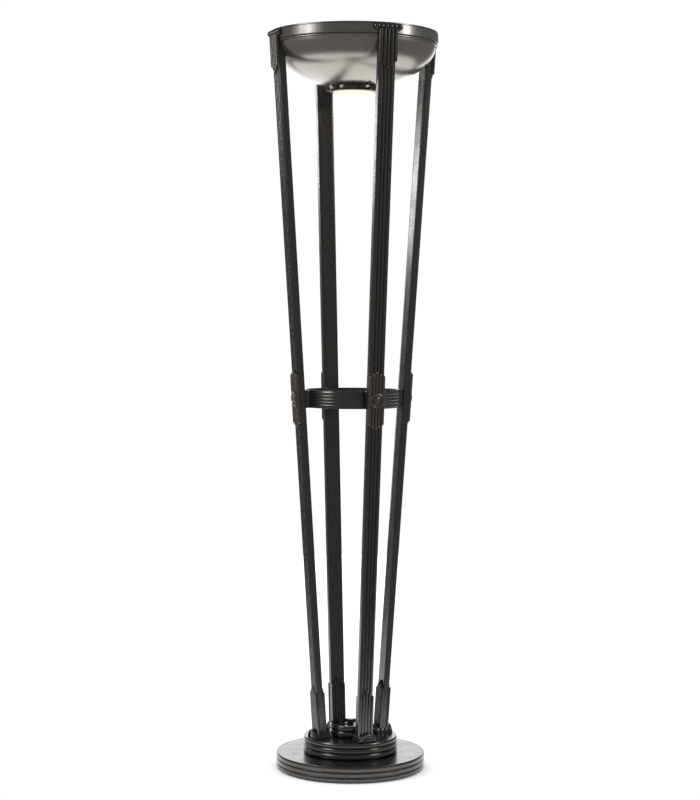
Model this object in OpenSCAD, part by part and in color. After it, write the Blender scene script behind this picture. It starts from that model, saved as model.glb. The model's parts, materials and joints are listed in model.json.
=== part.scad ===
// Torchiere floor lamp: four leaning reeded legs on a turned base carry a spun bowl shade.
// Origin: centre of the felt pad's underside, on the floor. +Z up. Leg 1 stands towards -Y, leg 2
// towards +X, leg 3 towards +Y and leg 4 towards -X. Millimetres.

/* [Overall] */
// Height of the rim's top above the floor
overall_h = 1830; // [1800:5:1860]

/* [Base] */
// Largest radius of the base disc
base_r = 186; // [182:0.5:190]
// Height of the base disc's top above the floor
base_h = 40; // [38:0.5:42]
// Thickness of the felt pad
pad_t = 2; // [1.5:0.5:2]
// Largest radius of the drum on the base
drum_r = 118; // [110:1:122]
// Height of the drum
drum_h = 41; // [40:0.5:43]
// Largest radius of the hub on the drum
hub_r = 52; // [51:0.5:54]
// Height of the hub
hub_h = 30; // [29:0.5:32]
// Radius of the dimmer knob
knob_r = 8.3; // [7.5:0.1:9]

/* [Legs] */
// Radius of a leg's centre line where it stands on the drum
leg_foot_r = 84; // [83.5:0.5:85]
// Radius of a leg's centre line at the height of the rim's top
leg_top_r = 203.5; // [203:0.5:204]
// Width of a leg at the drum
leg_foot_w = 36; // [35:0.5:37]
// Width of a leg at the rim
leg_top_w = 43; // [42:0.5:44]
// Depth of a leg at the drum
leg_foot_d = 18; // [17.5:0.5:18.5]
// Depth of a leg at the rim
leg_top_d = 20.5; // [20:0.5:21]
// Radius of the half-round feet
foot_r = 23.5; // [23:0.1:24]
// Radial length of the feet
foot_len = 46; // [36:0.5:48]

/* [Straps] */
// Thickness of the upper and middle straps over the leg
strap_t = 4; // [3.5:0.1:4.5]
// Thickness of the lower outer straps
low_outer_t = 3; // [2.8:0.1:3.4]
// Thickness of the lower inner straps
low_inner_t = 6; // [5:0.5:6.5]
// Height of the middle bolt axis and of the ring band's middle
ring_z = 927; // [900:1:960]
// Half length of the middle straps at their outer reeds
mid_half = 57; // [54:1:60]
// Step from each reed's end to the next on the middle straps
mid_step = 5; // [4:0.5:6]
// Length of the top straps at their outer reeds
top_len = 80; // [76:1:84]
// Height of the lower straps' outer reeds above the drum
low_len = 111; // [106:1:116]
// Step from each reed's end to the next on the other straps
reed_step = 8.5; // [7:0.5:9.5]

/* [Ring band] */
// Outer radius of the ring band
ring_r = 120; // [118:0.5:121]
// Height of the ring band
ring_h = 44; // [42:0.5:50]
// Thickness of the ring band
ring_t = 4; // [3.5:0.1:4.5]
// Width of the blocks between ring band and legs
block_w = 34; // [30:0.5:34]

/* [Bowl] */
// Outer radius of the rim band
rim_r = 208.4; // [208:0.1:208.8]
// Height of the rim band with its lower bead
rim_h = 33; // [32:0.5:34]
// Depth of the bowl's ellipse below the rim
bowl_depth = 103; // [102:0.5:104]
// Thickness of the bowl's metal
bowl_t = 2; // [1.8:0.1:2.2]
// Radius of the light opening in the bowl's floor
opening_r = 50; // [48:0.5:50]

/* [Capitals] */
// Radius of the beads of a capital
bead_r = 8.2; // [8:0.1:8.4]
// Distance from one bead to the next
bead_pitch = 11.6; // [11.4:0.1:12]
// Radius at which the beads' axis lies
bead_axis_r = 209; // [208.5:0.5:209.5]

/* [Light] */
// Outer radius of the gallery ring
gallery_r = 59; // [59:0.1:60]
// Height of the gallery ring
gallery_h = 15; // [14:0.5:16]
// Radius of the lens
lens_r = 54; // [53.5:0.1:54]
// Thickness of the lens
lens_t = 4; // [3:0.5:4]
// Radius at which the lamp holders stand
holder_at = 34; // [33:0.5:35]
// Largest radius of a bulb
bulb_r = 25; // [23:0.5:26]

/* [Hidden] */
$fn = 96;

bronze = "#35312e";
steel = "#9a9a98";

// Heights
deck_z = base_h + drum_h;
hub_z = deck_z + hub_h;
rim_z0 = overall_h - rim_h;
floor_z = rim_z0 + 1 - bowl_depth + 6;
gallery_z = floor_z - gallery_h;
capital_z = overall_h - 11;
leg_end_z = capital_z - 6;

// Legs: every size along a leg is linear in height
function along(z, low, high) = low + (high - low) * (z - deck_z) / (overall_h - deck_z);
function leg_r(z) = along(z, leg_foot_r, leg_top_r);
function leg_w(z) = along(z, leg_foot_w, leg_top_w);
function leg_d(z) = along(z, leg_foot_d, leg_top_d);
function face_r(z) = leg_r(z) + leg_d(z) / 2;
function back_r(z) = leg_r(z) - leg_d(z) / 2;
face_lean = atan((face_r(overall_h) - face_r(deck_z)) / (overall_h - deck_z));
back_lean = atan((back_r(overall_h) - back_r(deck_z)) / (overall_h - deck_z));

reed_depth = 2.5;
leg_reeds = 4;
leg_bevel = 2.2;
strap_reeds = 5;
low_over = 1.5;
mid_over = 1;
fit_gap = 0.08;
strap_over = 2.5;
wire_y = 8;
wire_bore = 3.5;
wire_r = 2.5;
leg_bolt_r = 4;

// Base
cover_r = 176;
cavity_r = 166;
plate_t = 10;
cover_t = 2.5;
inlet_z = 15;
inlet_bore = 3.5;
inlet_r = 5;
inlet_flange = 8;
tie_at = 41;
ballast_in = 62;
ballast_out = 162;
ballast_h = 18;
ballast_bolt_at = 112;

// Dimmer
dish = 5;
hub_floor = 4;
hub_cavity = 30;
bush_r = 5;
bush_up = 7;
shaft_r = 3;
nut_r = 6.6;
run_gap = 0.05;

// Ring band
boss_r = 18.5;
boss_seat = 2.5;
boss_up = 1.8;
bolt_r = 3;
bolt_gap = 0.1;

// Light
thumb_z = gallery_z + 4.5;
thumb_r = 1.5;
ball_r = 4;
lens_z = gallery_z - 0.5;
lip_h = 8;
bridge_t = 2;
holder_r = 15;
holder_h = 30;
cap_r = 13.1;
bulb_h = 84;

// ---- Helpers ----

// Carries its children to leg i: local +X points outward, local Y runs along the rim
module at_leg(i) { rotate([0, 0, 90 * (i - 2)]) children(); }

// A round rod, straight or tapered, from point p to point q
module rod(p, q, r0, r1) {
    d = q - p;
    translate(p)
        rotate([0, acos(d[2] / norm(d)), atan2(d[1], d[0])])
            cylinder(h = norm(d), r1 = r0, r2 = r1, $fn = 48);
}

// Edge of a reeded side, from below: count bulging arcs one above the other, each of height
// pitch, whose crests lie at radius r and whose valleys lie depth further in
function reed_arcs(r, z0, pitch, count, depth, n = 7) =
    let (rho = (pitch * pitch / 4 + depth * depth) / (2 * depth), half = asin(pitch / 2 / rho))
    [for (k = [0 : count - 1]) for (i = [(k == 0 ? 0 : 1) : n])
        let (a = -half + 2 * half * i / n)
        [r - rho + rho * cos(a), z0 + pitch * (k + 0.5) + rho * sin(a)]];

// Outer profile of the bowl, from the rim down: an ellipse that drops a little more steeply,
// cut flat at the floor. inset moves it inward by the metal's thickness
function bowl_arc(inset, n = 22) =
    let (deep = bowl_depth - inset, low = floor_z + inset,
        last = asin(pow((rim_z0 + 1 - low) / deep, 1 / 1.1)))
    [for (i = [0 : n]) let (t = last * i / n)
        [(rim_r - 5.2 - inset) * cos(t), rim_z0 + 1 - deep * pow(sin(t), 1.1)]];

// Solid that fills the bowl and the rim, used to notch what stands against them
module rim_fill() {
    rotate_extrude()
        polygon(concat([[0, overall_h + 30], [rim_r + fit_gap, overall_h + 30], [rim_r + fit_gap, rim_z0 + 6.5],
            [rim_r - 0.6 + fit_gap, rim_z0 - fit_gap], [rim_r - 5.2, rim_z0 - fit_gap]],
            [for (i = [1 : 22]) bowl_arc(0)[i]], [[0, floor_z]]));
}

// ---- Base ----

module felt_pad() { color("#20201f") cylinder(h = pad_t, r = 180); }

module bottom_cover() {
    color(steel)
        difference() {
            translate([0, 0, pad_t + 0.5]) cylinder(h = cover_t, r = cover_r);
            for (k = [0 : 3]) rotate([0, 0, 45 + 90 * k]) translate([171, 0, 0]) {
                cylinder(h = 10, r = 2.2);
                cylinder(h = pad_t + 0.5 + 1.5, r = 3.7);
            }
        }
}

module cover_screws() {
    color(steel)
        for (k = [0 : 3]) rotate([0, 0, 45 + 90 * k]) translate([171, 0, pad_t + 0.5]) {
            cylinder(h = 1.5, r = 3.5);
            cylinder(h = 12, r = 2);
        }
}

module base_disc() {
    seat = pad_t + 0.5 + cover_t;
    top = base_h - plate_t;
    color(bronze)
        difference() {
            rotate_extrude()
                polygon(concat([[0, pad_t], [base_r - 3, pad_t]],
                    reed_arcs(base_r, pad_t, (base_h - pad_t) / 3, 3, 1.7),
                    [[base_r - 4, base_h], [0, base_h]]));
            translate([0, 0, -1]) cylinder(h = seat + 1, r = cover_r + 0.2);
            cylinder(h = top, r = cavity_r);
            cylinder(h = base_h + 1, r = 25);
            for (k = [0 : 3]) rotate([0, 0, 45 + 90 * k]) {
                translate([171, 0, 0]) cylinder(h = 17, r = 2.05);
                translate([tie_at, 0, 0]) cylinder(h = base_h + 1, r = 3.2);
            }
            for (k = [0 : 2]) rotate([0, 0, 30 + 120 * k])
                translate([ballast_bolt_at, 0, 0]) cylinder(h = base_h - 3, r = 3.05);
            at_leg(3) translate([0, 0, inlet_z]) rotate([0, 90, 0]) {
                cylinder(h = base_r + 5, r = inlet_r);
                translate([0, 0, base_r - 3]) cylinder(h = 10, r = inlet_flange + 0.1);
            }
        }
}

module ballast() {
    color("#2b2b2b")
        difference() {
            translate([0, 0, base_h - plate_t - ballast_h]) cylinder(h = ballast_h, r = ballast_out);
            cylinder(h = base_h, r = ballast_in);
            for (k = [0 : 2]) rotate([0, 0, 30 + 120 * k])
                translate([ballast_bolt_at, 0, 0]) cylinder(h = base_h, r = 3.2);
            at_leg(3) translate([0, -9, 0]) cube([base_r, 18, base_h]);
        }
}

module ballast_bolts() {
    color(steel)
        for (k = [0 : 2]) rotate([0, 0, 30 + 120 * k])
            translate([ballast_bolt_at, 0, base_h - plate_t - ballast_h]) {
                translate([0, 0, -4]) cylinder(h = 4, r = 5.5, $fn = 6);
                translate([0, 0, -1]) cylinder(h = ballast_h + 7, r = 3);
            }
}

module inlet_bush() {
    color("#222222")
        at_leg(3) translate([0, 0, inlet_z]) rotate([0, 90, 0])
            difference() {
                union() {
                    translate([0, 0, cavity_r - 2]) cylinder(h = base_r - cavity_r + 1, r = inlet_r);
                    translate([0, 0, base_r - 3]) cylinder(h = 5, r = inlet_flange);
                }
                cylinder(h = base_r + 10, r = inlet_bore);
            }
}

module drum() {
    pitch = drum_h / 3;
    color(bronze)
        difference() {
            rotate_extrude()
                polygon(concat([[0, base_h]], reed_arcs(drum_r, base_h, pitch, 3, 2.6),
                    [[0, deck_z]]));
            translate([0, 0, base_h - 1]) cylinder(h = drum_h - 5, r = drum_r - 11);
            cylinder(h = deck_z + 1, r = hub_cavity);
            for (k = [0 : 3]) rotate([0, 0, 45 + 90 * k])
                translate([tie_at, 0, 0]) cylinder(h = deck_z + 1, r = 3.2);
            for (i = [1 : 4]) at_leg(i)
                translate([leg_foot_r, -wire_y, 0]) cylinder(h = deck_z + 1, r = leg_bolt_r + 0.2);
            at_leg(3) translate([leg_foot_r, wire_y, 0]) cylinder(h = deck_z + 1, r = wire_bore);
        }
}

module hub() {
    color(bronze)
        difference() {
            rotate_extrude()
                polygon(concat([[0, deck_z]], reed_arcs(hub_r, deck_z, hub_h / 2, 2, 2.6),
                    [[hub_r - 6, hub_z], [hub_r - 9, hub_z - dish], [0, hub_z - dish]]));
            cylinder(h = hub_z - dish - hub_floor, r = hub_cavity);
            cylinder(h = hub_z, r = bush_r + 0.1);
            for (k = [0 : 3]) rotate([0, 0, 45 + 90 * k])
                translate([tie_at, 0, 0]) cylinder(h = deck_z + 17, r = 3.05);
        }
}

module tie_bolts() {
    color(steel)
        for (k = [0 : 3]) rotate([0, 0, 45 + 90 * k])
            translate([tie_at, 0, base_h - plate_t]) {
                translate([0, 0, -5]) cylinder(h = 5, r = 6, $fn = 6);
                translate([0, 0, -1]) cylinder(h = deck_z + 15 - base_h + plate_t, r = 3);
            }
}

module dimmer_body() {
    ceiling = hub_z - dish - hub_floor;
    color("#444444")
        difference() {
            union() {
                translate([0, 0, ceiling - 18]) cylinder(h = 18, r = 18);
                translate([0, 0, ceiling - 1]) cylinder(h = bush_up + 1, r = bush_r);
            }
            translate([0, 0, ceiling - 12]) cylinder(h = 30, r = shaft_r + run_gap);
        }
}

module dimmer_nut() {
    color(steel)
        translate([0, 0, hub_z - dish])
            difference() {
                cylinder(h = 2.6, r = nut_r, $fn = 6);
                translate([0, 0, -1]) cylinder(h = 5, r = bush_r + run_gap);
            }
}

module dimmer_knob() {
    ceiling = hub_z - dish - hub_floor;
    low = ceiling + bush_up + 0.3;
    skirt = hub_z - dish + 0.4;
    high = hub_z + 9;
    color(bronze) {
        translate([0, 0, ceiling - 10]) cylinder(h = 22, r = shaft_r);
        rotate_extrude()
            polygon([[0, low], [nut_r + 0.4, low], [nut_r + 0.4, skirt], [knob_r, skirt],
                [knob_r, high - 2.4], [knob_r - 0.8, high - 0.8], [knob_r - 2.4, high], [0, high]]);
    }
}

// ---- Legs ----

// A leg's plain core: planar faces all round, its outward face lowered by the reeds' depth
module leg_core(z0, z1) {
    intersection() {
        rotate([90, 0, 0])
            linear_extrude(height = 100, center = true)
                polygon([[back_r(z0), z0], [face_r(z0) - reed_depth, z0],
                    [face_r(z1) - reed_depth, z1], [back_r(z1), z1]]);
        rotate([90, 0, 90])
            linear_extrude(height = 400)
                polygon([[-leg_w(z0) / 2, z0], [leg_w(z0) / 2, z0], [leg_w(z1) / 2, z1],
                    [-leg_w(z1) / 2, z1]]);
    }
}

// Four tapered reeds side by side on the outward face
module leg_reeding(z0, z1) {
    p0 = (leg_w(z0) - 2 * leg_bevel) / leg_reeds;
    p1 = (leg_w(z1) - 2 * leg_bevel) / leg_reeds;
    for (k = [0 : leg_reeds - 1]) {
        s = k - (leg_reeds - 1) / 2;
        rod([face_r(z0) - 0.54 * p0, s * p0, z0], [face_r(z1) - 0.54 * p1, s * p1, z1],
            0.54 * p0, 0.54 * p1);
    }
}

module leg_solid(z0, z1) {
    difference() {
        union() {
            leg_core(z0, z1);
            leg_reeding(z0, z1);
        }
        translate([0, -50, z1]) cube([400, 100, 20]);
        translate([0, -50, z0 - 20]) cube([400, 100, 20]);
    }
}

module leg(i) {
    color(bronze)
        at_leg(i)
            difference() {
                leg_solid(deck_z, leg_end_z);
                rim_fill();
                rod([leg_r(0), wire_y, 0], [leg_r(lead_top + 6), wire_y, lead_top + 6], wire_bore, wire_bore);
                translate([leg_foot_r, -wire_y, deck_z - 1]) cylinder(h = 24, r = leg_bolt_r + 0.05);
                boss_axis() cylinder(h = 200, r = bolt_r + bolt_gap, center = true);
                rim_screw_axis() cylinder(h = 9, r = 2.05);
                if (i == 3) translate([150, wire_y, lead_top]) rotate([0, 90, 0])
                    cylinder(h = leg_r(lead_top) - 150, r = wire_bore);
            }
}

module leg_1() { leg(1); }
module leg_2() { leg(2); }
module leg_3() { leg(3); }
module leg_4() { leg(4); }

module leg_bolts() {
    color(steel)
        for (i = [1 : 4]) at_leg(i) translate([leg_foot_r, -wire_y, deck_z - 6]) {
            translate([0, 0, -5.3]) cylinder(h = 5.3, r = 7, $fn = 6);
            translate([0, 0, -1]) cylinder(h = 26, r = leg_bolt_r);
        }
}

// A foot: a turned half-round bar with rings and a dished boss in each end, lying under the leg
module foot_turned() {
    half = foot_len / 2;
    side = [for (p = reed_arcs(foot_r, 0, foot_len / 4, 4, 1.2, 5)) [p[0], p[1]]];
    translate([leg_foot_r, 0, deck_z - 2])
        rotate([0, 90, 0])
            translate([0, 0, -half])
                rotate_extrude()
                    polygon(concat([[0, 0.6], [9, 1.2], [13, 3], [18.5, 3], [19.5, 0]], side,
                        [[19.5, foot_len], [18.5, foot_len - 3], [13, foot_len - 3],
                        [9, foot_len - 1.2], [0, foot_len - 0.6]]));
}

// Plain cylinder that holds a foot, used to cut the straps off above it
module foot_envelope() {
    translate([leg_foot_r - foot_len / 2, 0, deck_z - 2]) rotate([0, 90, 0]) cylinder(h = foot_len, r = foot_r);
}

module foot(i) {
    color(bronze)
        at_leg(i)
            difference() {
                foot_turned();
                translate([0, -50, 0]) cube([200, 100, deck_z]);
                leg_solid(deck_z - 5, deck_z + 60);
            }
}

module foot_1() { foot(1); }
module foot_2() { foot(2); }
module foot_3() { foot(3); }
module foot_4() { foot(4); }

// ---- Straps ----

// Reeds of one strap in its own plane: X outward, Z along the leg, z = 0 at mid height.
// up and down are the reaches of the outer reeds, and each next reed steps step further
module strap_reeding(w, t, up, down, step_up, step_down) {
    pitch = w / strap_reeds;
    r = 0.56 * pitch;
    for (k = [0 : strap_reeds - 1]) {
        rank = min(k, strap_reeds - 1 - k);
        high = up + step_up * rank;
        low = -down - step_down * rank;
        translate([t - r, (k - (strap_reeds - 1) / 2) * pitch, 0]) {
            translate([0, 0, low]) cylinder(h = high - low, r = r, $fn = 32);
            if (step_up > 0) translate([0, 0, high]) sphere(r = r, $fn = 32);
            if (step_down > 0) translate([0, 0, low]) sphere(r = r, $fn = 32);
        }
    }
    translate([-3, -w / 2, -down]) cube([3 + t - 0.45 * pitch, w, up + down]);
}

// Frame on a leg's outward face at height z, X square to the face
module on_face(z) { translate([face_r(z), 0, z]) rotate([0, face_lean, 0]) children(); }

// The same on the inward face, X pointing to the lamp's axis
module on_back(z) { translate([back_r(z), 0, z]) rotate([0, back_lean, 0]) rotate([0, 0, 180]) children(); }

module lower_straps_outer() {
    color(bronze)
        for (i = [1 : 4]) at_leg(i)
            difference() {
                on_face(deck_z + 50)
                    strap_reeding(leg_w(deck_z + 60) + 2 * low_over, low_outer_t, low_len - 50, 40, reed_step, 0);
                leg_solid(deck_z - 5, deck_z + 300);
                foot_envelope();
            }
}

module lower_straps_inner() {
    color(bronze)
        for (i = [1 : 4]) at_leg(i)
            difference() {
                on_back(deck_z + 50)
                    strap_reeding(leg_w(deck_z + 60), low_inner_t, low_len - 50, 40, reed_step, 0);
                leg_core(deck_z - 5, deck_z + 300);
                foot_envelope();
            }
}

// Axis of the bolt through strap, leg, block and ring band, pointing outward along +Z
module boss_axis() { on_face(ring_z) translate([strap_t, 0, 0]) rotate([0, 90, 0]) children(); }

module mid_strap(i) {
    color(bronze)
        at_leg(i)
            difference() {
                on_face(ring_z)
                    strap_reeding(leg_w(ring_z) + 2 * mid_over, strap_t, mid_half, mid_half, mid_step, mid_step);
                leg_solid(ring_z - 200, ring_z + 200);
                boss_axis() translate([0, 0, -boss_seat]) cylinder(h = 20, r = boss_r + 0.05);
                boss_axis() cylinder(h = 60, r = bolt_r + bolt_gap, center = true);
            }
}

module mid_strap_1() { mid_strap(1); }
module mid_strap_2() { mid_strap(2); }
module mid_strap_3() { mid_strap(3); }
module mid_strap_4() { mid_strap(4); }

module boss_bolts() {
    seat = -boss_seat;
    color(bronze)
        for (i = [1 : 4]) at_leg(i) boss_axis() {
            rotate_extrude()
                polygon([[0, seat], [boss_r, seat], [boss_r, 0.4], [boss_r - 1.2, 1.4],
                    [boss_r - 4.2, 1.4], [boss_r - 5.4, 0], [boss_r - 7.4, 0], [boss_r - 8.2, 1],
                    [boss_r - 11.6, boss_up], [0, boss_up + 0.5]]);
            translate([0, 0, -46]) cylinder(h = 45, r = bolt_r);
        }
}

module top_strap(i) {
    z = capital_z - 38;
    color(bronze)
        at_leg(i)
            difference() {
                on_face(z)
                    strap_reeding(leg_w(z) + 2 * strap_over, strap_t, 35, top_len - 40, 0, reed_step);
                leg_solid(z - 200, z + 60);
                rim_fill();
                capital_roll(0.02);
            }
}

module top_strap_1() { top_strap(1); }
module top_strap_2() { top_strap(2); }
module top_strap_3() { top_strap(3); }
module top_strap_4() { top_strap(4); }

// ---- Capitals ----

// Six beads in a row along the rim, joined by narrow necks
module capital_roll(grow) {
    n = 6;
    half = (n - 1) / 2 * bead_pitch;
    neck = 0.66 * bead_r;
    edge = sqrt(bead_r * bead_r - neck * neck);
    translate([bead_axis_r, 0, capital_z]) rotate([90, 0, 0]) {
        for (k = [0 : n - 1]) translate([0, 0, -half + bead_pitch * k]) sphere(r = bead_r + grow, $fn = 48);
        translate([0, 0, -half]) cylinder(h = 2 * half, r = neck, $fn = 48);
    }
}

module capital(i) {
    color(bronze)
        at_leg(i)
            difference() {
                capital_roll(0);
                cylinder(h = overall_h + 20, r = rim_r);
                translate([rim_r - 5, -leg_w(leg_end_z) / 2, leg_end_z - 20])
                    cube([face_r(leg_end_z) + 5.2 - rim_r, leg_w(leg_end_z), 20]);
                rim_screw_axis() cylinder(h = 9, r = 2.05);
            }
}

module capital_1() { capital(1); }
module capital_2() { capital(2); }
module capital_3() { capital(3); }
module capital_4() { capital(4); }

// ---- Ring band ----

module ring_fill(r) {
    rotate_extrude()
        polygon(concat([[0, ring_z - ring_h / 2], [r - 1.5, ring_z - ring_h / 2]],
            reed_arcs(r, ring_z - ring_h / 2 + 2.5, (ring_h - 5) / 5, 5, 1.4, 6),
            [[r - 1.5, ring_z + ring_h / 2], [0, ring_z + ring_h / 2]]));
}

module ring_band() {
    color(bronze)
        difference() {
            ring_fill(ring_r);
            translate([0, 0, ring_z - ring_h]) cylinder(h = 2 * ring_h, r = ring_r - ring_t);
            for (i = [1 : 4]) at_leg(i) boss_axis()
                cylinder(h = 100, r = bolt_r + bolt_gap, center = true);
        }
}

module ring_blocks() {
    z0 = ring_z - ring_h / 2;
    z1 = ring_z + ring_h / 2;
    color(bronze)
        for (i = [1 : 4]) at_leg(i)
            difference() {
                rotate([90, 0, 0])
                    linear_extrude(height = block_w, center = true)
                        polygon([[ring_r - 8, z0], [back_r(z0), z0], [back_r(z1), z1], [ring_r - 8, z1]]);
                ring_fill(ring_r);
                boss_axis() cylinder(h = 100, r = bolt_r + bolt_gap, center = true);
            }
}

module ring_nuts() {
    color(steel)
        for (i = [1 : 4]) at_leg(i) boss_axis()
            translate([0, 0, ring_r - ring_t - 0.6 - face_r(ring_z) - strap_t])
                difference() {
                    translate([0, 0, -4]) cylinder(h = 4, r = 5.8, $fn = 6);
                    translate([0, 0, -6]) cylinder(h = 8, r = bolt_r + 0.05);
                }
}

// ---- Bowl ----

module rim_band() {
    inner = rim_r - 4;
    bead = 5.5;
    color(bronze)
        difference() {
            rotate_extrude()
                polygon(concat([[inner, rim_z0 + 1], [rim_r - 4.6, rim_z0 + 1], [rim_r - 3, rim_z0]],
                    reed_arcs(rim_r - 0.6, rim_z0, bead, 1, 1.4, 5),
                    [[rim_r - 1.6, rim_z0 + bead + 0.9], [rim_r, rim_z0 + bead + 1.8],
                    [rim_r, overall_h - 4], [rim_r - 0.8, overall_h - 3.4],
                    [rim_r, overall_h - 2.6], [rim_r - 0.6, overall_h - 0.6],
                    [rim_r - 2, overall_h], [inner + 0.6, overall_h], [inner, overall_h - 0.6]]));
            for (i = [1 : 4]) at_leg(i) rim_screw_axis() translate([0, 0, -5]) cylinder(h = 30, r = 2.1);
        }
}

module bowl() {
    outer = rim_r - 4.1;
    collar = outer - bowl_t;
    collar_z = capital_z - 7;
    color("#4a4845")
        difference() {
            rotate_extrude()
                polygon(concat([[outer, collar_z], [outer, rim_z0 + 1.2]], bowl_arc(0),
                    [[opening_r, floor_z], [opening_r, floor_z + bowl_t]],
                    [for (i = [22 : -1 : 0]) bowl_arc(bowl_t)[i]],
                    [[collar, rim_z0 + 4], [collar, collar_z]]));
            for (k = [0 : 2]) rotate([0, 0, 120 * k - 90])
                translate([opening_r + 5, 0, 0]) cylinder(h = overall_h, r = 1.9);
            at_leg(3) translate([150, wire_y, lead_top]) rotate([0, 90, 0]) cylinder(h = 60, r = wire_bore);
        }
}

// Axis of the screw through the rim band into leg and capital, pointing outward along +Z
module rim_screw_axis() {
    translate([rim_r - 4, 0, capital_z - 2]) rotate([0, 90, 0]) children();
}

module rim_screws() {
    color(steel)
        for (i = [1 : 4]) at_leg(i) rim_screw_axis() {
            translate([0, 0, -2.5]) cylinder(h = 2.4, r = 3.6);
            translate([0, 0, -1]) cylinder(h = 9, r = 2);
        }
}

// ---- Light ----

module gallery_ring() {
    inner = lens_r + 0.5;
    color("#2c2521")
        difference() {
            rotate_extrude()
                polygon([[inner, gallery_z], [gallery_r - 0.8, gallery_z], [gallery_r, gallery_z + 0.8],
                    [gallery_r, gallery_z + 2.4], [gallery_r - 0.8, gallery_z + 3],
                    [gallery_r - 0.8, floor_z - 3], [gallery_r, floor_z - 2.4], [gallery_r, floor_z],
                    [opening_r, floor_z], [opening_r, floor_z - 2], [inner, floor_z - 2]]);
            for (k = [1 : 3]) thumb_axis(k) cylinder(h = 20, r = thumb_r + run_gap);
            for (k = [0 : 2]) rotate([0, 0, 120 * k - 90])
                translate([opening_r + 5, 0, floor_z - 3]) cylinder(h = 40, r = 1.9);
        }
}

// Axis of thumbscrew k, pointing outward along +Z from the lens's edge
module thumb_axis(k) {
    rotate([0, 0, 48 + 120 * (k - 1)]) translate([lens_r, 0, thumb_z]) rotate([0, 90, 0]) children();
}

module thumbscrew(k) {
    color(bronze)
        thumb_axis(k) {
            translate([0, 0, 0.3]) cylinder(h = 8, r = thumb_r, $fn = 48);
            translate([0, 0, gallery_r - lens_r + 0.2]) cylinder(h = 1.6, r = 2.6);
            translate([0, 0, gallery_r - lens_r + 4.8]) sphere(r = ball_r, $fn = 48);
        }
}

module thumbscrew_1() { thumbscrew(1); }
module thumbscrew_2() { thumbscrew(2); }
module thumbscrew_3() { thumbscrew(3); }

module lens() {
    color("#f6ecd0")
        translate([0, 0, lens_z])
            rotate_extrude()
                polygon([[0, 0], [lens_r - 1, 0], [lens_r, 1], [lens_r, lip_h - 0.6], [lens_r - 0.6, lip_h],
                    [lens_r - 2.4, lip_h], [lens_r - 3, lip_h - 0.6], [lens_r - 3, lens_t], [0, lens_t]]);
}

module lamp_bridge() {
    z = floor_z + bowl_t;
    color(steel)
        difference() {
            union() {
                translate([0, 0, z])
                    difference() {
                        cylinder(h = bridge_t, r = opening_r + 10);
                        translate([0, 0, -1]) cylinder(h = 5, r = opening_r + 1);
                    }
                translate([0, 0, z]) cylinder(h = bridge_t, r = 16);
                for (k = [0 : 2]) rotate([0, 0, 120 * k - 90])
                    translate([10, -7, z]) cube([opening_r - 6, 14, bridge_t]);
            }
            for (k = [0 : 2]) rotate([0, 0, 120 * k - 90])
                translate([opening_r + 5, 0, 0]) cylinder(h = overall_h, r = 1.9);
        }
}

module bridge_screws() {
    color(steel)
        for (k = [0 : 2]) rotate([0, 0, 120 * k - 90])
            translate([opening_r + 5, 0, floor_z + bowl_t + bridge_t]) {
                cylinder(h = 1.8, r = 3.2);
                translate([0, 0, -5.9]) cylinder(h = 6, r = 1.8);
            }
}

module terminal_block() {
    color("#d8d4c8") translate([0, 0, floor_z + bowl_t + bridge_t]) cylinder(h = 12, r = 9);
}

// Carries its children to lamp holder k
module at_holder(k) {
    rotate([0, 0, 120 * (k - 1) - 90]) translate([holder_at, 0, floor_z + bowl_t + bridge_t]) children();
}

module lamp_holders() {
    color("#e6e2d8")
        for (k = [1 : 3]) at_holder(k)
            difference() {
                cylinder(h = holder_h, r = holder_r);
                translate([0, 0, 4]) cylinder(h = holder_h, r = cap_r + run_gap);
            }
}

module bulb(k) {
    globe = bulb_h - bulb_r;
    color("#f4f0e4")
        at_holder(k) translate([0, 0, 4.3])
            rotate_extrude()
                polygon(concat([[0, 0], [4, 0], [5, 2], [cap_r, 5], [cap_r, 27], [14.5, 31]],
                    [for (i = [0 : 14]) let (a = -48 + 138 * i / 14)
                        [bulb_r * cos(a), globe + bulb_r * sin(a)]]));
}

module bulb_1() { bulb(1); }
module bulb_2() { bulb(2); }
module bulb_3() { bulb(3); }

// The lead runs from the dimmer under the drum's deck, up the bore of leg 3 and down the bowl
lead_top = overall_h - 58;
lead_low = deck_z - 25;
lead_floor = floor_z + bowl_t + bridge_t + 3.2;
lead = [[16, wire_y, deck_z + 6], [22, wire_y, lead_low + 8], [34, wire_y, lead_low], [74, wire_y, lead_low],
    [leg_r(lead_low + 10), wire_y, lead_low + 10], [leg_r(lead_top - 4), wire_y, lead_top - 4],
    [leg_r(lead_top) - 4, wire_y, lead_top], [186, wire_y, lead_top], [150, wire_y, lead_top - 31],
    [100, wire_y, lead_top - 54], [64, wire_y, lead_floor], [7, wire_y / 4, lead_floor]];

module lead_wire() {
    color("#1a1a1a")
        at_leg(3)
            difference() {
                union() {
                    for (i = [0 : len(lead) - 2]) rod(lead[i], lead[i + 1], wire_r, wire_r);
                    for (i = [1 : len(lead) - 2]) translate(lead[i]) sphere(r = wire_r + 0.45, $fn = 48);
                }
                translate([0, 0, floor_z]) cylinder(h = 30, r = 9.05);
                translate([0, 0, deck_z]) cylinder(h = hub_h, r = 18.05);
            }
}

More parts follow.
